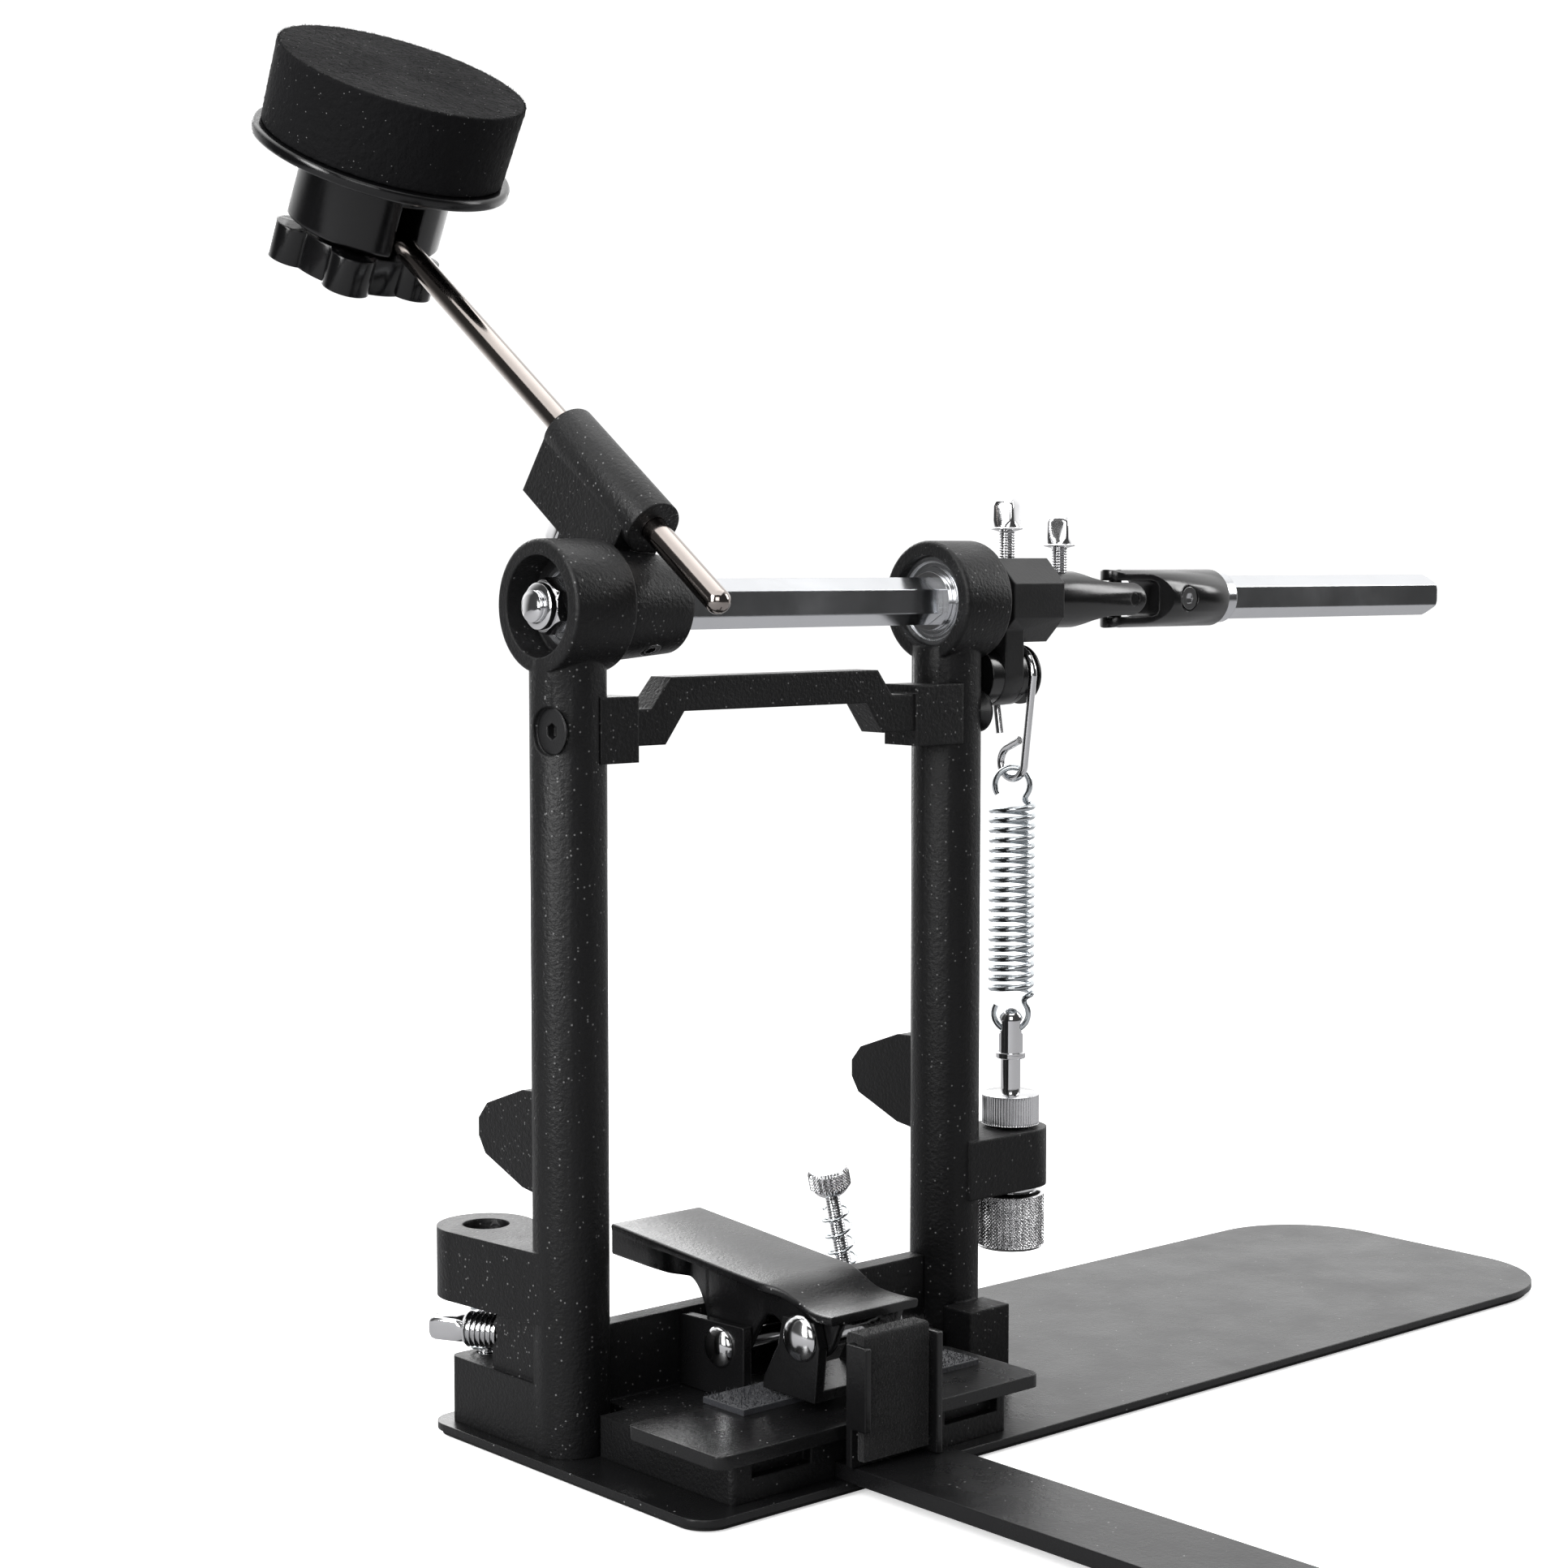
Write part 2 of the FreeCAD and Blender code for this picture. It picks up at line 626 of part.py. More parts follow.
# ------------------------------------------------------- rocker, link, spring
def make_rocker():
    arm_z = "axle_height - arm_length"
    hub = prism(8, "rocker_flats", "rocker_end - rocker_arm", ("rocker_arm", "0", "axle_height"), "x", 22.5)
    collar = cylinder("9", "rocker_arm - rocker_start + 1", ("rocker_start", "0", "axle_height"), "x")
    arm = box("rocker_arm_thickness", "2 * arm_radius", "arm_length", ("rocker_arm", "-arm_radius", arm_z))
    tip = cylinder("arm_radius", "rocker_arm_thickness", ("rocker_arm", "0", arm_z), "x")
    spool_hole = cylinder("3.05", "20", ("rocker_start", "0", arm_z), "x")
    screw_hole = cylinder("2.55", "20", ("94.5", "0", "axle_height"))
    subpart("rocker", cut(fuse(hub, collar, arm, tip), hex_socket("rocker_start - 1", "32"), spool_hole,
                          screw_hole))
    key_screw("2.5", "13.5", ("94.5", "0", "axle_height + 7.2"), Rotation(), "rocker_screw")
    boss_start = "rocker_arm + rocker_arm_thickness + 0.1"
    right_boss = cylinder("8.9", "7.6", (boss_start, "0", arm_z), "x")
    groove = ring("8.9", "2.4", ("spring_x", "0", arm_z), TOWARDS["x"])
    left_boss = cylinder("8.9", "4.8", ("80.3", "0", arm_z), "x")
    shank = cylinder("3", "16", ("82", "0", arm_z), "x")
    subpart("link_spool", cut(fuse(right_boss, left_boss, shank), groove))


def arc_points(centre, radius, start, middle, end):
    """Three (y, z) points of an arc."""
    return [(centre[0] + radius * math.cos(math.radians(angle)),
             centre[1] + radius * math.sin(math.radians(angle))) for angle in (start, middle, end)]


def make_link():
    """S-shaped wire hook from the spool down to the spring's upper ring."""
    over = arc_points((0, 0), 8.3, -20, 80, 180)
    under = arc_points((0, -26.3), 4.9, 187, 270, 380)
    back = arc_points((0, -26.3), 4.9, 380, 400, 430)
    tail = (over[0][0] - 2.4, over[0][1] - 15)
    end = (back[2][0] - 4.6, back[2][1] + 2.1)
    path = [[tail, over[0]], over, [over[2], under[0]], under, back, [back[2], end]]
    stretches = [[(0, y, z) for y, z in stretch] for stretch in path]
    link = bent_wire("hook_link", number("wire_radius"), stretches)
    link.Placement = Placement(Vector(number("spring_x"), 0, number("axle_height - arm_length")), Rotation())


def coil(radius, wire, pitch, height, at, rotation=None):
    """Round-wire helix swept along its own axis."""
    spine = bind(document.addObject("Part::Helix", "spine"), Pitch=pitch, Height=height, Radius=radius)
    section = bind(document.addObject("Part::Circle", "section"), Radius=wire)
    put(section, (radius, "0", "0"), turned(X_AXIS, 90))
    sweep = document.addObject("Part::Sweep", "coil")
    sweep.Sections = [section]
    sweep.Spine = (spine, [])
    sweep.Solid = True
    sweep.Frenet = True
    return put(sweep, at, rotation or Rotation())


def make_spring():
    """Open coil with a full loop at each end, the loops in one upright plane.

    The wire is a little fuller at each bend, so that no two faces there are tangent.
    """
    turn = -45
    facing = turned(Z_AXIS, turn + 90).multiply(TOWARDS["x"])
    reach = "(spring_radius - spring_wire)"
    body = coil(reach, "spring_wire", "(spring_high - spring_low) / 19", "spring_high - spring_low",
                ("spring_x", "0", "spring_low"), turned(Z_AXIS, turn))
    pieces = [body]
    for level, sign, lean in (("spring_high", "+", -27), ("spring_low", "-", 207)):
        corner = ("spring_x + %s * cos(45)" % reach, "-%s * sin(45)" % reach, level)
        strut = bind(document.addObject("Part::Cylinder", "cylinder"),
                     Radius="spring_wire * 0.95", Height="4.4")
        pieces.append(put(strut, corner, turned(Z_AXIS, turn).multiply(turned(Y_AXIS, lean))))
        pieces.append(ball("spring_wire * 1.1", corner))
        loop_z = "%s %s (ring_radius + spring_wire + 0.2)" % (level, sign)
        pieces.append(ring("ring_radius", "spring_wire", ("spring_x", "0", loop_z), facing))
    subpart("tension_spring", fuse(*pieces))


def make_tensioner():
    x = "spring_x"
    head = fuse(cylinder("3.7", "10.2", (x, "0", "91.2")), ball("3.7", (x, "0", "101.4")))
    flange = cylinder("4.5", "1.5", (x, "0", "90"))
    thread = cylinder("bolt_radius", "54", (x, "0", "37.5"))
    eye = bind(document.addObject("Part::Cylinder", "cylinder"), Radius="2.6", Height="20")
    put(eye, (x + " - 10 * cos(45)", "10 * sin(45)", "99.6"), turned(Z_AXIS, -45).multiply(TOWARDS["x"]))
    subpart("eye_bolt", cut(fuse(head, flange, thread), eye))
    bore = cylinder("bolt_radius + fit_gap", "40", (x, "0", "60"))
    subpart("tension_lock_nut", cut(cylinder("8.7", "10.2", (x, "0", "69.3")), bore))
    knob = fuse(cylinder("10.5", "17.3", (x, "0", "32.2")), cylinder("8", "19", (x, "0", "32.2")))
    subpart("tension_knob", cut(knob, cylinder("bolt_radius + fit_gap", "20", (x, "0", "34"))))


# ------------------------------------------------------------ universal joint
def ears(start, end, across, gap, thickness, axis):
    """Two ears from start to end, rounded about the joint's centre on a pin along Y or Z."""
    pieces = []
    for side in ("", "-"):
        near = "%s(%s)" % (side, gap) if not side else "-(%s) - (%s)" % (gap, thickness)
        if axis == "y":
            pieces.append(box("%s - (%s)" % (end, start), thickness, across,
                              (start, near, "axle_height - (%s) / 2" % across)))
            pieces.append(cylinder("(%s) / 2" % across, thickness, ("joint_x", near, "axle_height"), "y"))
        else:
            pieces.append(box("%s - (%s)" % (end, start), across, thickness,
                              (start, "-(%s) / 2" % across, "axle_height + " + near)))
            pieces.append(cylinder("(%s) / 2" % across, thickness, ("joint_x", "0", "axle_height + " + near)))
    return pieces


def make_joint():
    z = "axle_height"
    socket = cylinder("socket_radius", "21.9", ("yoke_start", "0", z), "x")
    fork = ears("120", "joint_x", "10", "5.2", "3.2", "y")
    pin_hole = cylinder("2.05", "24", ("joint_x", "-12", z), "y")
    screw_hole = cylinder("2.55", "14", ("117.2", "0", z))
    throat = box("20", "10.4", "20", ("128.5", "-5.2", "axle_height - 10"))
    subpart("joint_yoke_in", cut(fuse(socket, *fork), throat, hex_socket("yoke_start - 1", "20.9"),
                                 pin_hole, screw_hole))
    key_screw("2.5", "8.6", ("117.2", "0", "axle_height + 7.2"), Rotation(), "yoke_screw")
    cube = box("8.4", "8.4", "8.4", ("joint_x - 4.2", "-4.2", "axle_height - 4.2"))
    pin_y = cylinder("2", "16.6", ("joint_x", "-8.3", z), "y")
    pin_z = cylinder("2", "17.6", ("joint_x", "0", "axle_height - 8.8"))
    subpart("joint_cross", fuse(cube, pin_y, pin_z))
    socket = cylinder("outer_radius", "outer_end - outer_start", ("outer_start", "0", z), "x")
    fork = ears("joint_x", "outer_start + 4", "9.2", "5.6", "3.3", "z")
    pin_hole = cylinder("2.05", "24", ("joint_x", "0", "axle_height - 12"))
    set_hole = cylinder("3.55", "12", ("167.5", "0", z), "-y")
    subpart("joint_yoke_out", cut(fuse(socket, *fork), hex_socket("162", "30"), pin_hole, set_hole))
    grub = cylinder("3.5", "2.6", ("167.5", "-6.1", z), "-y")
    socket = prism(6, "3", "2", ("167.5", "-7.4", z), "-y")
    subpart("joint_set_screw", cut(grub, socket))
    collar = cylinder("8", "4.4", ("outer_end + 0.05", "0", z), "x")
    subpart("shaft_collar", cut(collar, hex_socket("outer_end - 1", "10")))
    shaft = prism(6, "axle_flats", "shaft_end - 163", ("163", "0", z), "x")
    crop = fuse(cone("30", "6.3", "23.7", ("shaft_end - 23.7", "0", z), "x"),
                cylinder("30", "120", ("shaft_end - 143.6", "0", z), "x"))
    common = document.addObject("Part::Common", "chamfer")
    common.Base = shaft
    common.Tool = crop
    subpart("drive_shaft", common)


# --------------------------------------------------------------- hoop clamp
def cheeks(outline, thickness, inner):
    """Two equal plates in YZ planes, inner apart, about the clamp's centre."""
    left_start = "-clamp_x - (%s) / 2 - (%s)" % (inner, thickness)
    left = plate("YZ_Plane", outline, thickness, (left_start, "0", "0"))
    right = plate("YZ_Plane", outline, thickness, ("-clamp_x + (%s) / 2" % inner, "0", "0"))
    return [left, right]


def make_clamp_base():
    web = box("118.4", "6", "web_height - " + PLATE_TOP, ("-59.2", "-2", PLATE_TOP))
    floor = box("118.4", "11", "jaw_block_height", ("-59.2", "-11", PLATE_TOP))
    jaw = box("jaw_block_width", "jaw_front - 11", "jaw_block_height", ("-68.5", "-jaw_front", PLATE_TOP))
    jaw = round_edges(jaw, "2", lambda edge: upright(edge) and edge.CenterOfMass.y < -60)
    solid = fuse(web, floor, jaw)
    tools = post_clearance("2", "40")
    tools.append(box("tongue_width + 0.4", "30", "tongue_thickness + 0.4",
                     ("-tongue_left - 0.2", "-jaw_front - 1", PLATE_TOP + " - 0.2")))
    tools.append(box("20", "3.2", "4.6", ("-62", "-jaw_front - 0.2", "9.2")))
    tools.append(box("20", "3.2", "4.6", ("6", "-jaw_front - 0.2", "9.2")))
    tools.append(box("20", "14", "30", ("59", "-22", "2")))
    for x, y in base_screw_places()[4:]:
        tools.append(cylinder("2.55", "8", (x, y, PLATE_TOP + " - 0.5")))
    subpart("clamp_base", cut(solid, *tools))


def make_clamp():
    top = PLATE_TOP + " + jaw_block_height + 0.05"
    jaw = box("jaw_plate_width", "jaw_plate_depth", "jaw_plate_thickness", ("-76", "-69", top))
    subpart("jaw_plate", round_edges(jaw, "3", upright))
    pad_z = top + " + jaw_plate_thickness + 0.02"
    subpart("jaw_pads", group(box("32", "16.5", "1.6", ("-48.5", "-46", pad_z)),
                              box("14", "15", "1.6", ("18", "-52", pad_z))))
    pin_y = "-lever_pin_y"
    outline = [("-29", top), ("-2.4", top), ("-2.4", "34.4"), ("-29", "35.4")]
    bracket = cheeks(outline, "3", "clamp_throat")
    foot = box("clamp_width", "26.6", "3", ("-clamp_x - clamp_width / 2", "-29", top))
    hole = cylinder("pin_radius + fit_gap", "60", ("-clamp_x - 30", pin_y, "lever_pin_z"), "x")
    subpart("clamp_bracket", cut(fuse(foot, *bracket), hole))
    clamp_pin("lever_pin", pin_y, "lever_pin_z", "5.6", "2.2")
    skin = [("26.5", "54.5"), ("-43", "49.3"), ("-64", "44.4"), ("-64.6", "41.5"), ("-43.6", "46.3"),
            ("26.7", "51.5")]
    lid = plate("YZ_Plane", skin, "lever_width", ("-clamp_x - lever_width / 2", "0", "0"))
    side = [("26.5", "53"), ("-43", "47.8"), ("-63.5", "43"), ("-61", "34"), ("-53", "31.2"), ("-45", "34"),
            ("-34", "40"), ("-26", "28"), ("-22", "22.5"), ("-15", "22.5"), ("-11.5", "28"), ("-9.5", "37"),
            ("-5", "44.5"), ("20", "48.5")]
    flanges = cheeks(side, "3", "lever_throat")
    tools = [cylinder("pin_radius + fit_gap", "60", ("-clamp_x - 30", y, z), "x")
             for y, z in ((pin_y, "lever_pin_z"), ("-shoe_pin_y", "shoe_pin_z"))]
    subpart("clamp_lever", cut(fuse(lid, *flanges), *tools))
    clamp_pin("shoe_pin", "-shoe_pin_y", "shoe_pin_z", "6", "2.6")
    outline = [("-45", "42"), ("-57", "42.3"), ("-59", "36"), ("-57.5", "21.2"), ("-37", "21.2"),
               ("-37.5", "24.5"), ("-43", "34")]
    shoe = cheeks(outline, "3", "clamp_throat")
    foot = [("-57.8", "24.2"), ("-57.5", "21.2"), ("-37", "21.2"), ("-37.4", "24.2")]
    sole = plate("YZ_Plane", foot, "clamp_width", ("-clamp_x - clamp_width / 2", "0", "0"))
    hole = cylinder("pin_radius + fit_gap", "60", ("-clamp_x - 30", "-shoe_pin_y", "shoe_pin_z"), "x")
    subpart("clamp_shoe", cut(fuse(sole, *shoe), hole))


def clamp_pin(label, y, z, radius, height):
    """Pin across the clamp with a low domed head on both ends."""
    shank = cylinder("pin_radius", "clamp_width + 1.2", ("-clamp_x - clamp_width / 2 - 0.6", y, z), "x")
    heads = []
    for sign, towards in (("-", "-x"), ("+", "x")):
        start = "-clamp_x %s (clamp_width / 2 + 0.1)" % sign
        heads.append(cone(radius, "(%s) * 0.45" % radius, height, (start, y, z), towards))
    subpart(label, fuse(shank, *heads))


# ------------------------------------------------------- spurs, bolt, tongue
def threaded_spur(head_low, head_height, tip, radius):
    """Spur along Z with its floor point at tip; the head is a knurled cylinder."""
    head = round_edges(cylinder(radius, head_height, ("0", "0", head_low)), "0.8",
                       lambda edge: edge.Length > 30)
    shank = cylinder("spur_radius", "(%s) - (%s) - 3" % (head_low, tip), ("0", "0", tip + " + 4"))
    point = cone("0.4", "spur_radius", "4", ("0", "0", tip))
    return fuse(head, shank, point)


def make_spurs():
    left = ("-" + POST_X, "lug_reach", "0")
    right, lean = right_spur()
    subpart("left_spur", put(threaded_spur("40", "10", "0.4", "spur_head_radius"), left, Rotation()))
    subpart("right_spur", put(threaded_spur("46", "10.5", "0.8", "spur_head_radius + 0.5"), right, lean))
    springs = []
    for pitch, length, low, place, rotation in (("2.6", "15.6", "22.3", left, Rotation()),
                                                ("2.8", "19.6", "23.9", right, lean)):
        springs.append(put(group(coil("4.1", "0.5", pitch, length, ("0", "0", low))), place, rotation))
    subpart("spur_springs", group(*springs))


def make_key_bolt():
    thread = cylinder("key_radius", "23.5", ("0", "0", "0"))
    neck = cone("key_radius", "3.9", "1.6", ("0", "0", "23.5"))
    head = prism(4, "6.35", "9.6", ("0", "0", "25"))
    tip = cone("4.6", "2.9", "1.6", ("0", "0", "33.6"))
    crop = fuse(tip, cylinder("4.6", "34", ("0", "0", "-0.4")))
    common = document.addObject("Part::Common", "chamfer")
    common.Base = fuse(head, neck)
    common.Tool = crop
    subpart("key_bolt", put(fuse(thread, common), ("-66.6", "14.1", "key_height"), key_axis()))


def make_tongue():
    bar = box("tongue_width", "tongue_end - 37", "tongue_thickness",
              ("-tongue_left", "-tongue_end", PLATE_TOP + " + 0.05"))
    subpart("stabiliser_bar", round_edges(bar, "4", lambda edge: upright(edge)
                                          and edge.CenterOfMass.y < -200))
    left = "-bracket_left"
    base_z = PLATE_TOP + " + tongue_thickness + 0.1"
    web = box("bracket_width", "sheet", "bracket_top - (%s)" % base_z, (left, "-72.6", base_z))
    left_flange = box("sheet", "7.4", "bracket_top - 18", (left, "-78", "18"))
    right_flange = box("sheet", "7.4", "bracket_top - (%s)" % base_z,
                       (left + " + bracket_width - sheet", "-78", base_z))
    subpart("felt_bracket", fuse(web, left_flange, right_flange))
    x = left + " + sheet + 0.3"
    width = "bracket_width - 2 * sheet - 0.6"
    front = box(width, "felt_thickness", "bracket_top - 8.6", (x, "-72.65 - felt_thickness", "9.5"))
    cap = box(width, "felt_thickness + 4.25", "felt_thickness",
              (x, "-72.65 - felt_thickness", "bracket_top + 0.05"))
    back = box(width, "2", "7", (x, "-70.4", "bracket_top - 4"))
    subpart("felt_pad", fuse(front, cap, back))


make_base()
make_left_post()
make_right_post()
make_crossbar()
make_axle()
make_holder()
make_head()
make_rocker()
make_link()
make_spring()
make_tensioner()
make_joint()
make_clamp_base()
make_clamp()
make_spurs()
make_key_bolt()
make_tongue()

document.recompute()
for item in document.Objects:
    if "Invalid" in item.State or "Error" in item.State:
        raise RuntimeError("%s did not compute: %s" % (item.Label, item.State))
os.makedirs("parts", exist_ok=True)
for item in subparts:
    if item.Shape.isNull() or not item.Shape.isValid():
        raise RuntimeError("%s has no valid shape" % item.Label)
    item.Shape.exportStep("parts/%s.step" % item.Label)
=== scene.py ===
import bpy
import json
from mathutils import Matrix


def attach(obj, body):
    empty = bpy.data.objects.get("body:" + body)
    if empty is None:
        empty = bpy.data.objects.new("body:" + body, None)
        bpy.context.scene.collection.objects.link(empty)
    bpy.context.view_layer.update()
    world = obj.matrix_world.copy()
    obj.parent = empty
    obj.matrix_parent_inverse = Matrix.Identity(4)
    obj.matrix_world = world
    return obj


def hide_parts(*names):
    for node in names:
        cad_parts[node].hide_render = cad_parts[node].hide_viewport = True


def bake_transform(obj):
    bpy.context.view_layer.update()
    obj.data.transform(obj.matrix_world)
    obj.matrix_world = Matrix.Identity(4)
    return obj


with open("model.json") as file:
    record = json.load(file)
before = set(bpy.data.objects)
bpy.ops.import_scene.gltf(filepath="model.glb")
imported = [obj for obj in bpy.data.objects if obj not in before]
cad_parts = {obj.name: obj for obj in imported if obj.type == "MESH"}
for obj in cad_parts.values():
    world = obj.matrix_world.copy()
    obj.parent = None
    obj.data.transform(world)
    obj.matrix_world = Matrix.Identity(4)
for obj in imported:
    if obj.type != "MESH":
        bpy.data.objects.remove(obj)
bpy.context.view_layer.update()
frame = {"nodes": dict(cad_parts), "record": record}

import json
import math

import bmesh
import bpy
import numpy as np
from mathutils import Matrix, Vector

# Lengths are millimetres and angles are degrees; meshes are scaled to metres when they are made.
MM = 0.001
AXLE_Z = 228.3       # height of the axle's middle line
ROD_X = -47.4        # place of the beater rod along the axle
ROD_OFFSET = 21.4    # from the axle's middle line to the rod's
ROD_REACH = 170      # along the rod, from beside the axle to the beater head
ROD_LEAN = 54.4      # the rod's lean from upright
HEAD_LEAN = 27.4     # the beater head's lean from upright
SPRING_X = 97.5      # place of the return spring along the axle
SPUR_Y = 38.8        # how far both spurs stand behind the axle
CLAMP_X = -19        # middle plane of the hoop clamp
SCREW_Z = AXLE_Z + 7.2
rng = np.random.default_rng(7)


# ------------------------------------------------------------------ geometry
def turn_x(angle):
    return np.array(Matrix.Rotation(math.radians(angle), 3, "X"))


def turn_y(angle):
    return np.array(Matrix.Rotation(math.radians(angle), 3, "Y"))


def turn_z(angle):
    return np.array(Matrix.Rotation(math.radians(angle), 3, "Z"))


# A frame is a rotation and an origin.
AXLE_FRAME = (turn_y(90), (0, 0, AXLE_Z))
ROD_FRAME = (turn_x(-ROD_LEAN), (ROD_X, 0, AXLE_Z))


def place(points, frame_at):
    """Points of a frame in the object's own coordinates."""
    rotation, origin = frame_at
    return np.asarray(points, float) @ np.asarray(rotation).T + np.asarray(origin, float)


HEAD_POINT = place([(0, -ROD_OFFSET, ROD_REACH)], ROD_FRAME)[0]
HEAD_FRAME = (turn_x(HEAD_LEAN), HEAD_POINT)


def build(name, points, faces, slot, body, frame_at=None, angle=32, flat=False):
    """A mesh object from millimetre points, with a slot's finish, riding on a body."""
    points = np.asarray(points, float)
    if frame_at is not None:
        points = place(points, frame_at)
    mesh = bpy.data.meshes.new(name)
    mesh.from_pydata((points * MM).tolist(), [], [list(map(int, face)) for face in faces])
    mesh.validate()
    mesh.update()
    mesh.polygons.foreach_set("use_smooth", [not flat] * len(mesh.polygons))
    if not flat:
        mesh.set_sharp_from_angle(angle=math.radians(angle))
    obj = bpy.data.objects.new(name, mesh)
    bpy.context.scene.collection.objects.link(obj)
    if slot:
        obj.data.materials.append(SURFACES[slot])
    if body:
        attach(obj, body)
    return obj


def grid_faces(rows, columns, closed=True, start=0):
    """Quads of a grid of points, wrapped round in the column direction when closed."""
    faces = []
    last = columns if closed else columns - 1
    for row in range(rows - 1):
        for column in range(last):
            right = (column + 1) % columns
            a = start + row * columns
            b = a + columns
            faces.append((a + column, a + right, b + right, b + column))
    return faces


def lathe(profile, segments=96, shape=None):
    """Points and faces of a profile of (radius, height) turned about Z; shape scales each radius."""
    profile = np.asarray(profile, float)
    angles = round_angles(segments)
    radius = np.repeat(profile[:, :1], segments, axis=1)
    height = np.repeat(profile[:, 1:2], segments, axis=1)
    around = np.repeat(angles[None, :], len(profile), axis=0)
    if shape is not None:
        radius = radius + shape(around, height, radius)
    points = np.stack([radius * np.cos(around), radius * np.sin(around), height], axis=-1).reshape(-1, 3)
    faces = grid_faces(len(profile), segments)
    count = len(points)
    points = np.vstack([points, [[0, 0, profile[0, 1]], [0, 0, profile[-1, 1]]]])
    base = (len(profile) - 1) * segments
    for column in range(segments):
        right = (column + 1) % segments
        faces.append((count, right, column))
        faces.append((count + 1, base + column, base + right))
    return points, faces


def merge(*parts):
    """One set of points and faces from several."""
    points, faces, start = [], [], 0
    for part_points, part_faces in parts:
        points.append(part_points)
        faces.extend([tuple(index + start for index in face) for face in part_faces])
        start += len(part_points)
    return np.vstack(points), faces


def steps(start, end, count):
    """Evenly spaced values, both ends included."""
    return np.linspace(start, end, count)


def round_angles(count):
    """Evenly spaced angles once round, in radians."""
    return np.linspace(0, 2 * math.pi, count, endpoint=False)


def rounded(profile, radius, cuts=4):
    """A profile with every corner between its two ends rounded by a small curve."""
    profile = [np.array(point, float) for point in profile]
    result = [profile[0]]
    for before, corner, after in zip(profile, profile[1:], profile[2:]):
        a = before - corner
        b = after - corner
        size = min(radius, np.linalg.norm(a) * 0.45, np.linalg.norm(b) * 0.45)
        first = corner + a / np.linalg.norm(a) * size
        last = corner + b / np.linalg.norm(b) * size
        for share in steps(0, 1, cuts):
            result.append(first * (1 - share) ** 2 + corner * 2 * share * (1 - share) + last * share ** 2)
    result.append(profile[-1])
    return np.array(result)


def tube(path, radius, sides=14):
    """Points and faces of a round wire along a path."""
    path = np.asarray(path, float)
    tangents = np.gradient(path, axis=0)
    tangents /= np.linalg.norm(tangents, axis=1)[:, None]
    normal = np.cross(tangents[0], [0.3, 0.2, 0.93])
    normal /= np.linalg.norm(normal)
    angles = round_angles(sides)
    rings = []
    for point, tangent in zip(path, tangents):
        normal = normal - tangent * (normal @ tangent)
        normal /= np.linalg.norm(normal)
        other = np.cross(tangent, normal)
        rings.append(point + radius * (np.outer(np.cos(angles), normal) + np.outer(np.sin(angles), other)))
    points = np.vstack(rings)
    faces = grid_faces(len(path), sides)
    faces.append(tuple(reversed(range(sides))))
    faces.append(tuple(range(len(points) - sides, len(points))))
    return points, faces


def screw_shape(pitch, depth, start, end):
    """Radius change of a thread between two heights."""
    def shape(around, height, radius):
        phase = (height / pitch + around / (2 * math.pi)) % 1
        ridge = np.clip(np.abs(phase - 0.5) * 2, 0.12, 0.88)
        inside = (height > start) & (height < end)
        return np.where(inside, -depth * (1 - ridge), 0)
    return shape


def knurl_shape(count, depth, start, end, lean, rim):
    """Radius change of a knurl; lean 0 is straight, otherwise crossed."""
    def shape(around, height, radius):
        one = np.abs(np.sin(count / 2 * around + lean * height))
        two = np.abs(np.sin(count / 2 * around - lean * height))
        cut_depth = depth * (1 - np.minimum(one, two)) if lean else depth * (1 - one)
        inside = (height >= start) & (height <= end) & (radius > rim)
        return np.where(inside, -cut_depth, 0)
    return shape


def prism_shape(points_xy, low, high):
    """Extrude an outline of (x, y) between two heights."""
    count = len(points_xy)
    bottom = [(x, y, low) for x, y in points_xy]
    top = [(x, y, high) for x, y in points_xy]
    faces = [(i, (i + 1) % count, count + (i + 1) % count, count + i) for i in range(count)]
    faces.append(tuple(reversed(range(count))))
    faces.append(tuple(range(count, 2 * count)))
    return np.array(bottom + top, float), faces


# ----------------------------------------------------------------- materials
class Nodes:
    """Small helper to wire one node tree."""

    def __init__(self, tree):
        self.tree = tree

    def add(self, kind, **inputs):
        node = self.tree.nodes.new(kind)
        for name, value in inputs.items():
            node.inputs[name.replace("_", " ")].default_value = value
        return node

    def link(self, source, output, target, entry):
        self.tree.links.new(source.outputs[output], target.inputs[entry])


def ramp(nodes, source, output, low, high, from_value, to_value):
    """Map a 0-1 signal between two positions to a range of values."""
    node = nodes.add("ShaderNodeMapRange", From_Min=low, From_Max=high, To_Min=from_value, To_Max=to_value)
    nodes.link(source, output, node, "Value")
    return node


def add_bump(nodes, texture, strength, distance, before):
    """Relief from a texture, on top of the normal of an earlier node."""
    bump = nodes.add("ShaderNodeBump", Strength=strength, Distance=distance)
    nodes.link(texture, "Fac", bump, "Height")
    nodes.link(before, "Normal", bump, "Normal")
    return bump


def mix_colors(nodes):
    """A colour mix; its factor is input 0, its colours are inputs 6 and 7, its result is output 2."""
    mix = nodes.add("ShaderNodeMix")
    mix.data_type = "RGBA"
    return mix


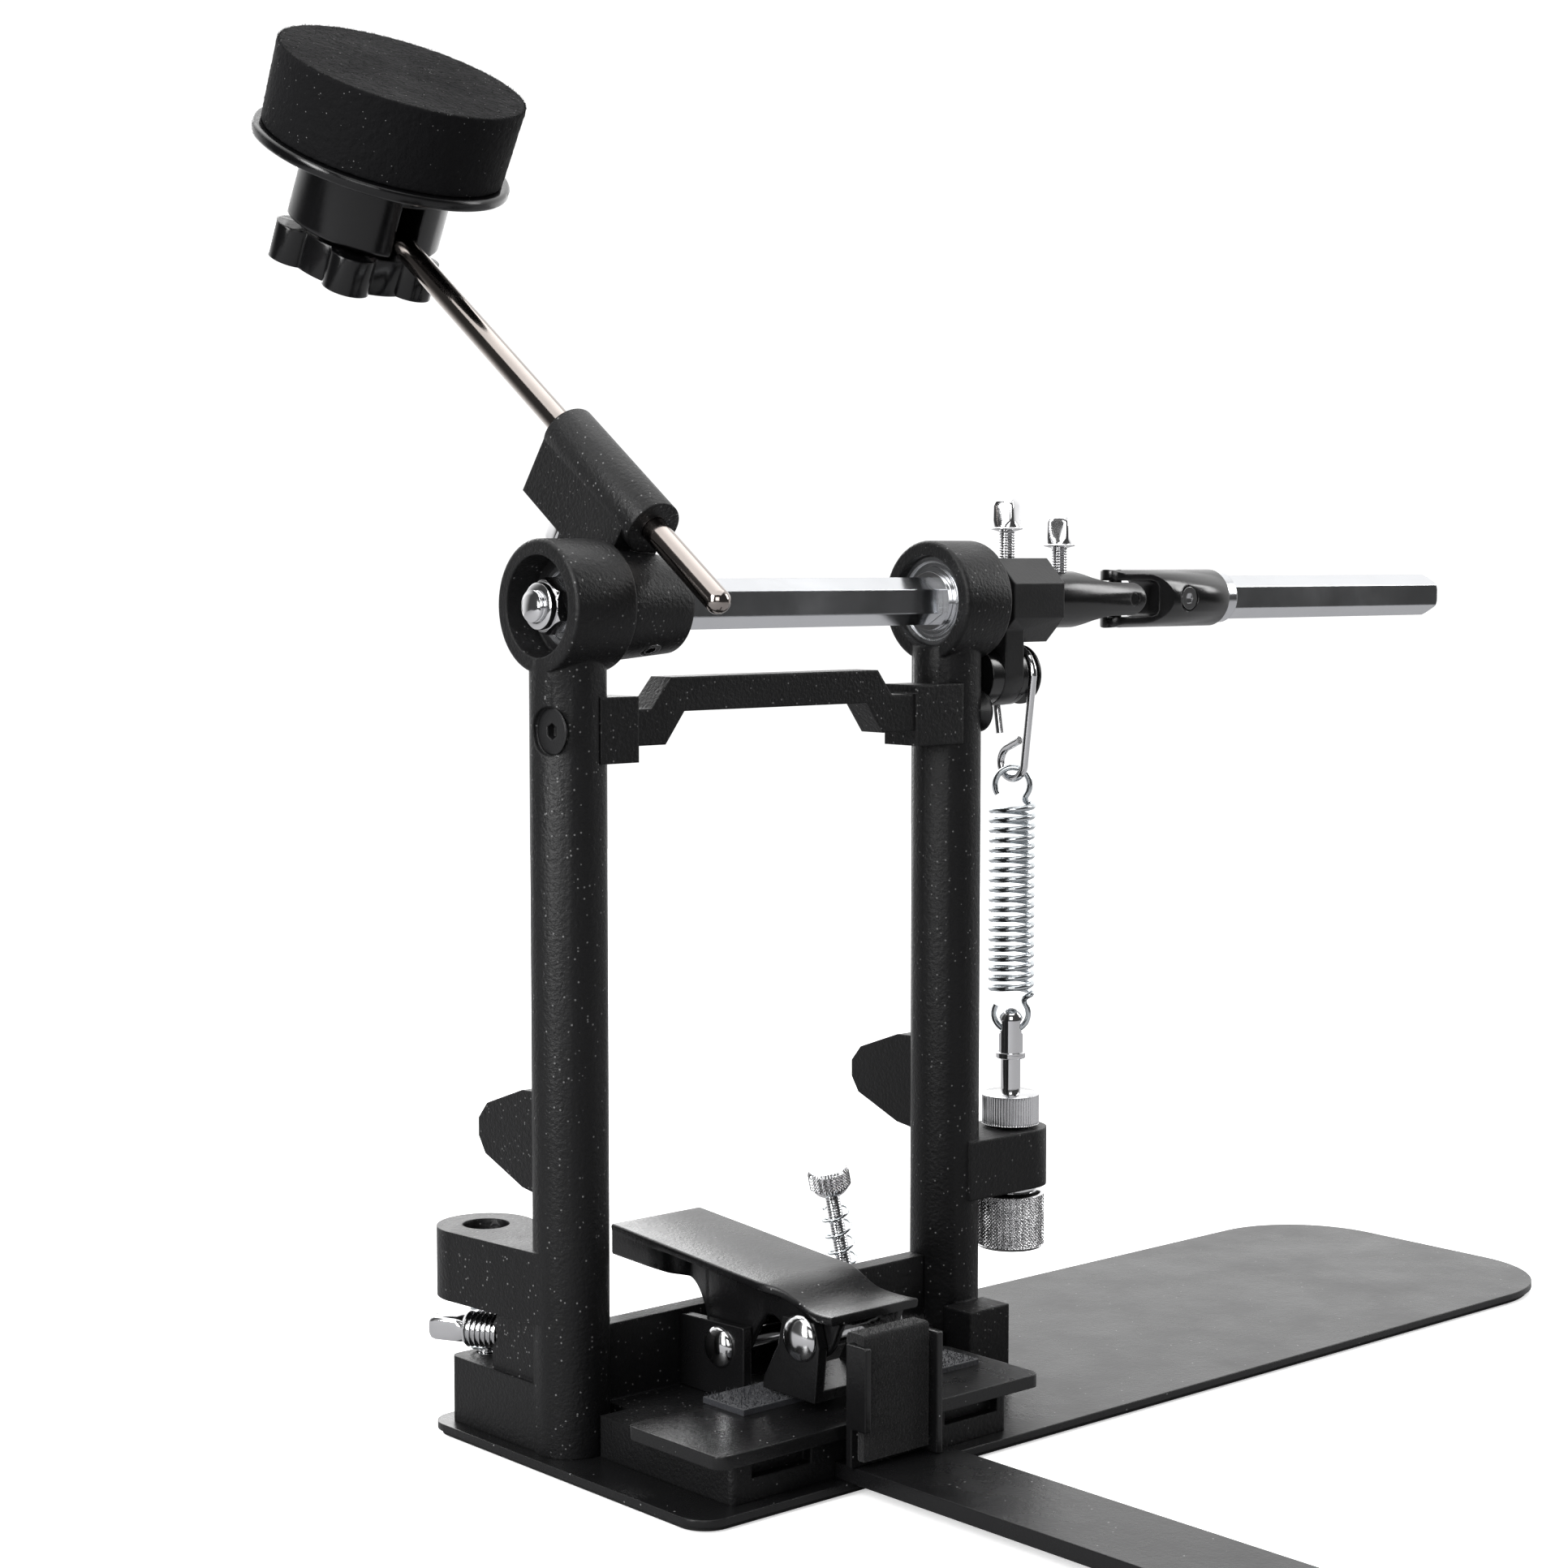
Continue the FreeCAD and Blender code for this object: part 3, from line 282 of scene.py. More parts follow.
def add_specks(nodes, coordinates, base, scale, share, size, bright):
    """Pale specks in a share of the cells of a Voronoi pattern."""
    flake = nodes.add("ShaderNodeTexVoronoi", Scale=scale)
    nodes.link(coordinates, "Object", flake, "Vector")
    near = ramp(nodes, flake, "Distance", size * 0.6, size, 1.0, 0.0)
    cell = nodes.add("ShaderNodeSeparateColor")
    nodes.link(flake, "Color", cell, "Color")
    chosen = ramp(nodes, cell, "Red", 1 - share - 0.01, 1 - share, 0.0, 1.0)
    both = nodes.add("ShaderNodeMath")
    both.operation = "MULTIPLY"
    nodes.link(near, "Result", both, 0)
    nodes.link(chosen, "Result", both, 1)
    specks = mix_colors(nodes)
    specks.inputs[7].default_value = (bright, bright, bright, 1)
    nodes.link(base, 2, specks, 6)
    nodes.link(both, "Value", specks, 0)
    return specks


def surface(name, color, metallic=0.0, roughness=0.4, spread=0.06, grain=None, relief=0.00005, wave=None,
            edge=0.00035, sheen=0.0, mottling=0.12, tint=None, sparkle=None, streak=None, level=0.5):
    """One procedural material: broken-up colour and roughness, relief and softened edges.

    grain is the scale of a fine relief, wave is (scale, depth) of a broad one and streak is (scales, depth) of a
    drawn one, with depths, relief and edge in metres. sparkle is (scale, share, size, brightness) of pale specks.
    """
    material = bpy.data.materials.new(name)
    material.use_nodes = True
    nodes = Nodes(material.node_tree)
    shader = material.node_tree.nodes["Principled BSDF"]
    shader.inputs["Metallic"].default_value = metallic
    shader.inputs["Specular IOR Level"].default_value = level
    shader.inputs["Sheen Weight"].default_value = sheen
    coordinates = nodes.add("ShaderNodeTexCoord")
    smudge = nodes.add("ShaderNodeTexNoise", Scale=38.0, Detail=5.0, Roughness=0.62)
    nodes.link(coordinates, "Object", smudge, "Vector")
    rough = ramp(nodes, smudge, "Fac", 0.3, 0.7, max(0.02, roughness - spread), roughness + spread)
    nodes.link(rough, "Result", shader, "Roughness")
    base = mix_colors(nodes)
    base.inputs[6].default_value = (*[c * (1 - mottling) for c in color], 1)
    base.inputs[7].default_value = (*(tint or [min(1, c * (1 + mottling)) for c in color]), 1)
    nodes.link(smudge, "Fac", base, 0)
    if sparkle:
        base = add_specks(nodes, coordinates, base, *sparkle)
    nodes.link(base, 2, shader, "Base Color")
    normal = nodes.add("ShaderNodeBevel", Radius=edge)
    normal.samples = 4
    if grain:
        fine = nodes.add("ShaderNodeTexNoise", Scale=grain, Detail=3.0, Roughness=0.6)
        nodes.link(coordinates, "Object", fine, "Vector")
        normal = add_bump(nodes, fine, 0.6, relief, normal)
    if wave:
        broad = nodes.add("ShaderNodeTexNoise", Scale=wave[0], Detail=2.0, Roughness=0.5)
        nodes.link(coordinates, "Object", broad, "Vector")
        normal = add_bump(nodes, broad, 0.5, wave[1], normal)
    if streak:
        stretched = nodes.add("ShaderNodeMapping", Scale=streak[0])
        nodes.link(coordinates, "Object", stretched, "Vector")
        lines = nodes.add("ShaderNodeTexNoise", Scale=1.0, Detail=4.0, Roughness=0.65)
        nodes.link(stretched, "Vector", lines, "Vector")
        normal = add_bump(nodes, lines, 0.35, streak[1], normal)
    nodes.link(normal, "Normal", shader, "Normal")
    return material


# One finish for each material slot of the record.
SURFACES = {
    "black_powder_coat": surface("black_powder_coat", (0.0035, 0.0035, 0.0038), roughness=0.42, spread=0.06,
                                 grain=950.0, relief=0.0004, wave=(160.0, 0.0002), edge=0.0009,
                                 mottling=0.35, sparkle=(1250.0, 0.05, 0.4, 0.13), level=0.26),
    "satin_black_plate": surface("satin_black_plate", (0.0045, 0.0045, 0.0048), roughness=0.27, spread=0.06,
                                 grain=1000.0, relief=0.0001, wave=(260.0, 0.00008), edge=0.0006,
                                 sparkle=(700.0, 0.03, 0.22, 0.2), level=0.36),
    "gloss_black_plastic": surface("gloss_black_plastic", (0.0025, 0.0025, 0.0028), roughness=0.17, spread=0.05,
                                   grain=500.0, relief=0.00003, edge=0.0008, level=0.4),
    "gloss_black_metal": surface("gloss_black_metal", (0.005, 0.005, 0.0053), roughness=0.19, spread=0.05,
                                 grain=420.0, relief=0.00004, edge=0.0006, level=0.6),
    "satin_black_steel": surface("satin_black_steel", (0.007, 0.007, 0.0075), roughness=0.36, spread=0.05,
                                 grain=1100.0, relief=0.00008, edge=0.0008, mottling=0.25, level=0.45),
    "polished_zinc_steel": surface("polished_zinc_steel", (0.62, 0.63, 0.65), metallic=1.0, roughness=0.15,
                                   spread=0.07, edge=0.0005, mottling=0.1,
                                   streak=((30.0, 2500.0, 2500.0), 0.00001)),
    "dark_chrome": surface("dark_chrome", (0.28, 0.26, 0.25), metallic=1.0, roughness=0.1, spread=0.05,
                           edge=0.0003, mottling=0.15, tint=(0.42, 0.37, 0.34)),
    "chrome": surface("chrome", (0.68, 0.68, 0.69), metallic=1.0, roughness=0.11, spread=0.05, edge=0.00012,
                      mottling=0.08),
    "zinc_spring_steel": surface("zinc_spring_steel", (0.58, 0.61, 0.64), metallic=1.0, roughness=0.2,
                                 spread=0.08, edge=0.0001, mottling=0.12, tint=(0.66, 0.7, 0.72)),
    "ribbed_rubber": surface("ribbed_rubber", (0.009, 0.009, 0.009), roughness=0.75, grain=700.0,
                             relief=0.0001, level=0.3),
    "foam_rubber": surface("foam_rubber", (0.0055, 0.0055, 0.006), roughness=0.8, spread=0.1, grain=700.0,
                           relief=0.0007, wave=(420.0, 0.0004), edge=0.0005,
                           sparkle=(1200.0, 0.06, 0.26, 0.14), mottling=0.6, level=0.08),
    "black_felt": surface("black_felt", (0.006, 0.006, 0.0064), roughness=0.95, spread=0.04, grain=1400.0,
                          relief=0.0006, sheen=0.16, mottling=0.5, level=0.2),
    "hook_tape": surface("hook_tape", (0.016, 0.017, 0.021), roughness=0.5, grain=1300.0, relief=0.0005,
                         sheen=0.1, mottling=0.3, level=0.5),
}
for row in frame["record"]["subparts"]:
    node = frame["nodes"][row["node"]]
    node.data.materials.clear()
    node.data.materials.append(SURFACES[row["material_slot"]])


# ------------------------------------------------------------ return spring
def hermite(start, end, start_slope, end_slope, count):
    """Points of a smooth curve between two points with given slopes."""
    t = np.linspace(0, 1, count)[:, None]
    return ((2 * t ** 3 - 3 * t ** 2 + 1) * start + (t ** 3 - 2 * t ** 2 + t) * start_slope
            + (3 * t ** 2 - 2 * t ** 3) * end + (t ** 3 - t ** 2) * end_slope)


def make_return_spring():
    """Open coil of round wire with a full loop at each end."""
    low, high, turns = 109.6, 166.5, 19
    reach, loop, wire = 6.15, 5.2, 0.9
    gap = 0.2
    steps_per_turn = 28
    coil_slope, loop_slope, bend_points = 9, 22, 14
    start_angle = math.radians(-45)
    side = np.array([math.cos(start_angle), math.sin(start_angle), 0])
    up = np.array([0, 0, 1.0])
    centre = np.array([SPRING_X, 0, 0])
    angles = steps(0, 2 * math.pi * turns, turns * steps_per_turn + 1)
    spin = start_angle + angles
    coil = np.stack([SPRING_X + reach * np.cos(spin), reach * np.sin(spin),
                     low + (high - low) * angles / angles[-1]], axis=-1)

    def loop_points(height, start, end):
        turn = np.radians(steps(start, end, 60))
        return centre + up * height + loop * (np.outer(np.cos(turn), side) + np.outer(np.sin(turn), up))

    bottom = loop_points(low - wire - loop - gap, 150, 395)
    top = loop_points(high + wire + loop + gap, -35, 212)
    along = coil[1] - coil[0]
    along *= coil_slope / np.linalg.norm(along)
    rise = hermite(bottom[-1], coil[0], (bottom[-1] - bottom[-2]) * loop_slope, along, bend_points)[1:-1]
    leave = hermite(coil[-1], top[0], along, (top[1] - top[0]) * loop_slope, bend_points)[1:-1]
    points, faces = tube(np.vstack([bottom, rise, coil, leave, top]), wire, 12)
    spring = build("return_spring", points, faces, "zinc_spring_steel", None)
    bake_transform(spring)
    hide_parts("tension_spring")


make_return_spring()


# ---------------------------------------------------- knurled and threaded parts
def make_tensioner():
    """Knurled knob and lock nut, and the eye bolt's thread with its flange."""
    at = [SPRING_X, 0, 0]
    bore = 3.1
    knob_radius, knob_low, knob_high = 10.5, 33.4, 48.4
    knob_profile = [(bore, 34), (bore, 51.2), (7.4, 51.2), (8, 50.7), (8, 49.5), (9.7, 49.5), (knob_radius, 48.6)]
    knob_profile += [(knob_radius, z) for z in steps(knob_high, knob_low, 110)]
    knob_profile += [(knob_radius, 33.1), (9.6, 32.2), (4, 32.2)]
    diamonds = knurl_shape(64, 0.62, knob_low - 0.1, knob_high + 0.1, 2.9, knob_radius - 0.1)
    points, faces = lathe(knob_profile, 288, diamonds)
    knob = build("knurled_tension_knob", points + at, faces, "chrome", "tension_knob", angle=50)
    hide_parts("tension_knob")
    nut_radius, nut_low, nut_high = 8.7, 70.1, 78.7
    nut_profile = [(bore, 69.3), (7.9, 69.3), (nut_radius, 70)]
    nut_profile += [(nut_radius, z) for z in steps(nut_low, nut_high, 12)]
    nut_profile += [(nut_radius, 78.8), (7.9, 79.5), (bore, 79.5)]
    grooves = knurl_shape(60, 0.55, nut_low - 0.05, nut_high + 0.05, 0, nut_radius - 0.1)
    points, faces = lathe(nut_profile, 300, grooves)
    nut = build("knurled_lock_nut", points + at, faces, "chrome", "lock_nut", angle=50)
    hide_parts("tension_lock_nut")
    bolt_radius, thread_low, thread_high = 3, 38.4, 89.4
    thread_profile = [(2.5, 37.5), (bolt_radius, 38.2)]
    thread_profile += [(bolt_radius, z) for z in steps(thread_low, thread_high, 420)]
    thread_profile += [(bolt_radius, 89.6)]
    thread = lathe(thread_profile, 40, screw_shape(1.0, 0.5, thread_low - 0.1, thread_high + 0.1))
    flange = lathe(rounded([(0.1, 89.8), (4.5, 89.8), (4.5, 91.4), (0.1, 91.4)], 0.4), 64)
    points, faces = merge(thread, flange)
    build("eye_bolt_thread", points + at, faces, "chrome", "eye", angle=45)


make_tensioner()


def knurled_head(radius, low, high, count, lean):
    """Head with crossed knurling and a tapered neck below it."""
    neck = low - 1.6
    profile = [(0.1, neck), (radius * 0.62, neck), (radius * 0.74, low - 0.9), (radius - 1, low)]
    profile += [(radius, low + 1)] + [(radius, z) for z in steps(low + 1.05, high - 1.05, 60)]
    profile += [(radius, high - 1), (radius - 0.9, high), (0.1, high)]
    return lathe(profile, 220, knurl_shape(count, 0.6, low + 1, high - 1, lean, radius - 0.05))


def make_spur(name, node, radius, low, height, tip, frame_at):
    """Threaded spur with a knurled head and a pointed end; its body is named like its node."""
    shank_radius, point_length = 2.5, 4
    head = knurled_head(radius, low, low + height, 40, 3.2)
    thread_low, thread_high = tip + point_length + 0.2, low - 1
    profile = [(0.3, tip), (shank_radius, tip + point_length)]
    profile += [(shank_radius, z) for z in steps(thread_low, thread_high, 330)]
    shank = lathe(profile, 36, screw_shape(0.9, 0.42, tip + point_length + 0.1, thread_high))
    points, faces = merge(head, shank)
    spur = build(name, points, faces, "chrome", node, frame_at, angle=50)
    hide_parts(node)


def spur_coil(frame_at, low, turns):
    """Loose thin coil round a spur's shank, with its turns closed up at both ends."""
    reach, wire = 4.1, 0.42
    angles = np.linspace(0, 2 * math.pi * turns, int(turns * 30))
    rise = 0.12 + np.minimum(1, np.minimum(angles, angles[-1] - angles) / 5)
    height = low + 15.2 * turns / 3.4 * np.cumsum(rise) / np.sum(rise)
    path = np.stack([reach * np.cos(angles), reach * np.sin(angles), height], axis=-1)
    return tube(place(path, frame_at), wire, 10)


def make_spurs():
    """Both spurs and their springs; the right spur leans outwards."""
    left_frame = (turn_y(0), (-69.5, SPUR_Y, 0))
    right_frame = (turn_y(-12.8), (70.3, SPUR_Y, 0))
    points, faces = merge(spur_coil(left_frame, 22.2, 3.4), spur_coil(right_frame, 23.7, 4.3))
    springs = build("spur_spring_coils", points, faces, "zinc_spring_steel", "frame", angle=60)
    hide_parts("spur_springs")
    make_spur("left_spur_screw", "left_spur", 6.0, 40, 10, 0.4, left_frame)
    make_spur("right_spur_screw", "right_spur", 6.5, 50, 6.5, 0.8, right_frame)


make_spurs()


def square_end(levels, spin=0.0, sides=96):
    """Loops between round and square; each level is (height, half width, squareness), closed at the last."""
    angles = round_angles(sides)
    turned = angles + math.radians(spin)
    rows = []
    for height, half, power in levels:
        radius = half / (np.abs(np.cos(angles)) ** power + np.abs(np.sin(angles)) ** power) ** (1 / power)
        rows.append(np.stack([radius * np.cos(turned), radius * np.sin(turned), np.full(sides, height)], axis=-1))
    points = np.vstack(rows)
    faces = grid_faces(len(rows), sides)
    faces.append(tuple(range(len(points) - sides, len(points))))
    return points, faces


def key_screw(name, node, length, frame_at, spin):
    """Square-headed screw with a dished flange; its tip is at the frame's origin."""
    radius = 2.5
    shank = [(1.9, 0), (radius, 0.6)]
    shank += [(radius, z) for z in steps(0.7, length - 0.3, int(length * 9))]
    thread = lathe(shank, 40, screw_shape(0.8, 0.42, 0.65, length - 0.3))
    flange = lathe([(0.1, length - 0.3), (2.6, length - 0.3), (4.9, length + 0.35), (5.0, length + 0.6),
                    (4.8, length + 0.8), (3.6, length + 1.1), (0.1, length + 1.1)], 64)
    base = length + 0.8
    levels = [(0, 4.1, 2.0), (0.9, 3.95, 2.3), (2.2, 3.3, 9.0), (6.6, 3.22, 9.0), (7.6, 3.1, 5.0),
              (8.3, 2.8, 3.4), (8.8, 2.3, 2.6), (9.0, 1.6, 2.2), (9.05, 0.6, 2.0)]
    head = square_end([(base + height, half, power) for height, half, power in levels], spin)
    points, faces = merge(thread, flange, head)
    screw = build(name, points, faces, "chrome", "axle", frame_at, angle=40)
    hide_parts(node)


def make_key_screws():
    """Drum-key screws of the rocker, the inner yoke and the beater holder."""
    upright = np.eye(3)
    key_screw("rocker_key_screw", "rocker_screw", 13.5, (upright, (94.5, 0, SCREW_Z)), 20)
    key_screw("yoke_key_screw", "yoke_screw", 8.6, (upright, (117.2, 0, SCREW_Z)), 34)
    outward = turn_x(-90 - ROD_LEAN)
    tip = place([(0, 3.52 - ROD_OFFSET, 37)], ROD_FRAME)[0]
    key_screw("rod_key_screw", "rod_clamp_screw", 15.8, (outward, tip), 10)


make_key_screws()


def make_key_bolt():
    """Threaded bolt with a square end, splayed out of the left rib."""
    radius, thread_end = 4.9, 23.2
    profile = [(3.9, 0), (radius, 0.8)]
    profile += [(radius, z) for z in steps(0.9, thread_end, 260)]
    profile += [(4.2, 24.2), (3.4, 24.4)]
    thread = lathe(profile, 64, screw_shape(1.5, 0.85, 0.85, thread_end))
    head = square_end([(24.0, 3.5, 2.0), (25.4, 3.6, 3.0), (26.6, 3.3, 8.0), (32.6, 3.2, 8.0),
                       (33.8, 3.1, 4.0), (34.5, 2.6, 2.6), (34.6, 1.7, 2.0)])
    points, faces = merge(thread, head)
    frame_at = (turn_z(30.4) @ turn_x(-90), (-66.6, 14.1, 30.6))
    bolt = build("square_end_bolt", points, faces, "chrome", "key_bolt", frame_at, angle=40)
    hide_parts("key_bolt")


make_key_bolt()


# ---------------------------------------------------------------- clamp lever
def slab_loft(stations):
    """Closed loft through stations, each a loop of the same number of points."""
    count = len(stations[0])
    points = np.vstack(stations)
    faces = grid_faces(len(stations), count)
    faces.append(tuple(reversed(range(count))))
    faces.append(tuple(range(len(points) - count, len(points))))
    return points, faces


def read_smooth(table, y, reach):
    """Value of a (y, value) table at y, averaged over a short stretch so that its corners are soft."""
    table = sorted(table)
    places = np.linspace(y - reach, y + reach, 9)
    return float(np.mean(np.interp(places, [row[0] for row in table], [row[1] for row in table])))


def lever_plate(spine, thick, edge):
    """Top plate of the lever, narrower behind its turned-down nose."""
    width = [(26.5, 16.4), (-38, 16.4), (-44, 14.4), (-50, 13.8), (-56, 15.2), (-60, 15.6), (-64.4, 15.6)]
    stations = []
    for y in steps(26.5, -64.4, 110):
        half, top = read_smooth(width, y, 2.0), read_smooth(spine, y, 2.2)
        right = [(half - edge * (1 - math.sin(a)), top - edge * (1 - math.cos(a)))
                 for a in np.radians(np.linspace(0, 90, 5))]
        right += [(half - edge * 0.4, top - thick + edge * 0.3), (half - edge, top - thick)]
        loop = right + [(-x, z) for x, z in reversed(right)]
        stations.append([(x + CLAMP_X, y, z) for x, z in loop])
    return slab_loft(stations[::-1])


def lever_flange(side, spine, thick, edge):
    """One turned-down flange of the lever; rim is its lower edge, offset its distance from the middle."""
    rim = [(26.4, 45.6), (8, 44.8), (-3, 43.9), (-6, 41.5), (-9, 36.5), (-11.5, 28.4), (-15, 23.3), (-19, 22.4),
           (-22.5, 23.3), (-26, 28), (-30, 34.8), (-34, 39.6), (-38, 39.8), (-42, 37.2), (-46, 33.4), (-50, 31.7),
           (-53, 31.4), (-57, 32.5), (-60, 35.4), (-62, 39.5), (-63.2, 43)]
    offset = [(26.4, 16.3), (9, 16.3), (3, 15.4), (-1, 12.4), (-3, 11.6), (-64, 11.6)]
    stations = []
    for y in steps(26.3, -63.1, 130):
        outer, low = read_smooth(offset, y, 1.6), read_smooth(rim, y, 0.9)
        top = read_smooth(spine, y, 2.2) - 1.2
        loop = [(outer, top), (outer, low + edge), (outer - edge * 0.3, low + edge * 0.3), (outer - edge, low),
                (outer - thick + edge * 0.5, low), (outer - thick, low + edge * 0.5), (outer - thick, top)]
        loop = loop if side < 0 else loop[::-1]
        stations.append([(side * x + CLAMP_X, y, z) for x, z in loop])
    return slab_loft(stations)


def make_lever():
    """Formed sheet lever: a top plate with a turned-down nose and two curved flanges."""
    spine = [(26.5, 54.4), (0, 52.4), (-26, 50.4), (-38, 49.6), (-43, 49.0), (-47, 47.6), (-52, 45.9),
             (-56, 45.3), (-60, 45.2), (-64.4, 45.5)]
    thick, edge = 2.4, 0.8
    flanges = [lever_flange(side, spine, thick, edge) for side in (-1, 1)]
    points, faces = merge(lever_plate(spine, thick, edge), *flanges)
    lever = build("formed_lever", points, faces, "satin_black_plate", "lever", angle=50)
    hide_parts("clamp_lever")


make_lever()


def make_rivet(name, node, body, y, z, radius, height):
    """Pin through the clamp with a domed head on each side."""
    head_start, shank_radius = 15.1, 3
    dome = [(radius * math.sin(a), height * math.cos(a)) for a in np.radians(np.linspace(2, 90, 14))]
    profile = [(r, -head_start - h) for r, h in dome]
    profile += [(shank_radius, -head_start), (shank_radius, head_start)]
    profile += [(r, head_start + h) for r, h in reversed(dome)]
    points, faces = lathe(profile, 64)
    rivet = build(name, points, faces, "chrome", body, (turn_y(90), (CLAMP_X, y, z)), angle=40)
    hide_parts(node)


make_rivet("lever_rivet", "lever_pin", "frame", -19, 28.5, 5.6, 2.6)
make_rivet("shoe_rivet", "shoe_pin", "lever", -52, 37.5, 6.2, 3.0)


# -------------------------------------------------------------- carved solids
CROSS_X = 142.5         # middle of the universal joint's cross
SOCKET_FLATS = 12.1     # hexagonal sockets of both forks
PIN_HOLE = 2.05         # radius of the holes for the cross's pins
JOINT_FRAME = (np.eye(3), (0, 0, AXLE_Z))


def temporary(points, faces):
    """A helper object, in millimetres, for modifiers to work on."""
    mesh = bpy.data.meshes.new("temporary")
    mesh.from_pydata(np.asarray(points, float).tolist(), [], [list(map(int, face)) for face in faces])
    mesh.update()
    item = bpy.data.objects.new("temporary", mesh)
    bpy.context.scene.collection.objects.link(item)
    work = bmesh.new()
    work.from_mesh(mesh)
    bmesh.ops.remove_doubles(work, verts=work.verts, dist=0.0005)
    bmesh.ops.recalc_face_normals(work, faces=work.faces)
    work.to_mesh(mesh)
    work.free()
    return item


def carve(base, tools, bevel):
    """Points and faces of a solid after cuts and intersections, with its edges rounded."""
    item = temporary(*base)
    helpers = [item]
    for operation, tool in tools:
        cutter = temporary(*tool)
        helpers.append(cutter)
        change = item.modifiers.new("cut", "BOOLEAN")
        change.operation = operation
        change.solver = "EXACT"
        change.object = cutter
    edges = item.modifiers.new("soften", "BEVEL")
    edges.width = bevel
    edges.segments = 3
    edges.limit_method = "ANGLE"
    edges.angle_limit = math.radians(32)
    seen = item.evaluated_get(bpy.context.evaluated_depsgraph_get())
    mesh = bpy.data.meshes.new_from_object(seen)
    points = np.array([vertex.co[:] for vertex in mesh.vertices])
    faces = [tuple(face.vertices) for face in mesh.polygons]
    for helper in helpers:
        bpy.data.objects.remove(helper)
    return points, faces


def block(low, high):
    """Points and faces of a box."""
    (x0, y0, z0), (x1, y1, z1) = low, high
    return prism_shape([(x0, y0), (x1, y0), (x1, y1), (x0, y1)], z0, z1)


def extruded(outline, low, high, axis):
    """Prism whose outline lies across the given axis: (x, y) for z, (x, z) for y."""
    points, faces = prism_shape(outline, low, high)
    if axis == "y":
        points = points[:, [0, 2, 1]]
    return points, faces


def polygon(radius, sides, at=(0, 0)):
    """Corners of a regular outline."""
    return [(at[0] + radius * math.cos(a), at[1] + radius * math.sin(a)) for a in round_angles(sides)]


def hexagon(flats, low, high):
    """Six-sided bar of a width across flats."""
    return prism_shape(polygon(flats / 2 / math.cos(math.pi / 6), 6), low, high)


def drill(radius, low, high, at=(0, 0)):
    """Round bar along Z, used to cut holes."""
    return prism_shape(polygon(radius, 32, at), low, high)


def along_x(shape):
    """Turn a solid made along Z so that it runs along X; heights become x."""
    points, faces = shape
    return place(points, (turn_y(90), (0, 0, 0))), faces


def bullet(end, half, start_edge):
    """Outline that follows an upper edge and its mirror image, and ends in a half circle about (end, 0)."""
    nose = [(end + half * math.cos(a), half * math.sin(a)) for a in np.linspace(math.pi / 2, -math.pi / 2, 24)]
    if end < start_edge[0][0]:
        nose = [(2 * end - x, y) for x, y in nose]
    return start_edge + nose + [(x, -y) for x, y in reversed(start_edge)]


def make_inner_fork():
    """Fork on the axle: a turned socket that narrows to two cheeks beside the cross."""
    bar = along_x(lathe([(8, 107.1), (8.5, 107.8), (8.6, 119), (8.5, 148)], 96))
    side = bullet(CROSS_X, 5.0, [(106, 9.5), (119, 9.5), (122, 8.2), (126, 6.6), (130, 5.6), (134, 5.1)])
    pin_hole = extruded(polygon(PIN_HOLE, 24, (CROSS_X, 0)), -15, 15, "y")
    tools = [("INTERSECT", extruded(side, -12, 12, "y")), ("DIFFERENCE", block((128.5, -5.2, -20), (160, 5.2, 20))),
             ("DIFFERENCE", along_x(hexagon(SOCKET_FLATS, 100, 127.1))), ("DIFFERENCE", pin_hole)]
    points, faces = carve(bar, tools, 0.55)
    fork = build("joint_inner_fork", points, faces, "gloss_black_metal", "axle", JOINT_FRAME, angle=42)
    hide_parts("joint_yoke_in")


def make_outer_fork():
    """Fork on the drive shaft: a turned socket with a window through its cheeks and a set screw's recess."""
    bar = along_x(lathe([(9, 137), (9, 186.2), (8.5, 187)], 96))
    top = bullet(CROSS_X, 4.6, [(190, 9.6), (163, 9.6), (160, 8.8), (157, 6.8), (154, 5.2), (151, 4.6)])
    half = [(120, -5.6), (153.8, -5.6), (155.4, -5), (156, -3.6)]
    window = half + [(x, -z) for x, z in reversed(half)]
    recess_points, recess_faces = drill(4.1, 7.2, 12)
    recess = (place(recess_points, (turn_x(90), (167.5, 0, 0))), recess_faces)
    tools = [("INTERSECT", extruded(top, -12, 12, "z")), ("DIFFERENCE", extruded(window, -14, 14, "y")),
             ("DIFFERENCE", along_x(hexagon(SOCKET_FLATS, 162, 190))), ("DIFFERENCE", recess),
             ("DIFFERENCE", drill(PIN_HOLE, -15, 15, (CROSS_X, 0)))]
    points, faces = carve(bar, tools, 0.55)
    fork = build("joint_outer_fork", points, faces, "gloss_black_metal", "drive", JOINT_FRAME, angle=42)
    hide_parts("joint_yoke_out")


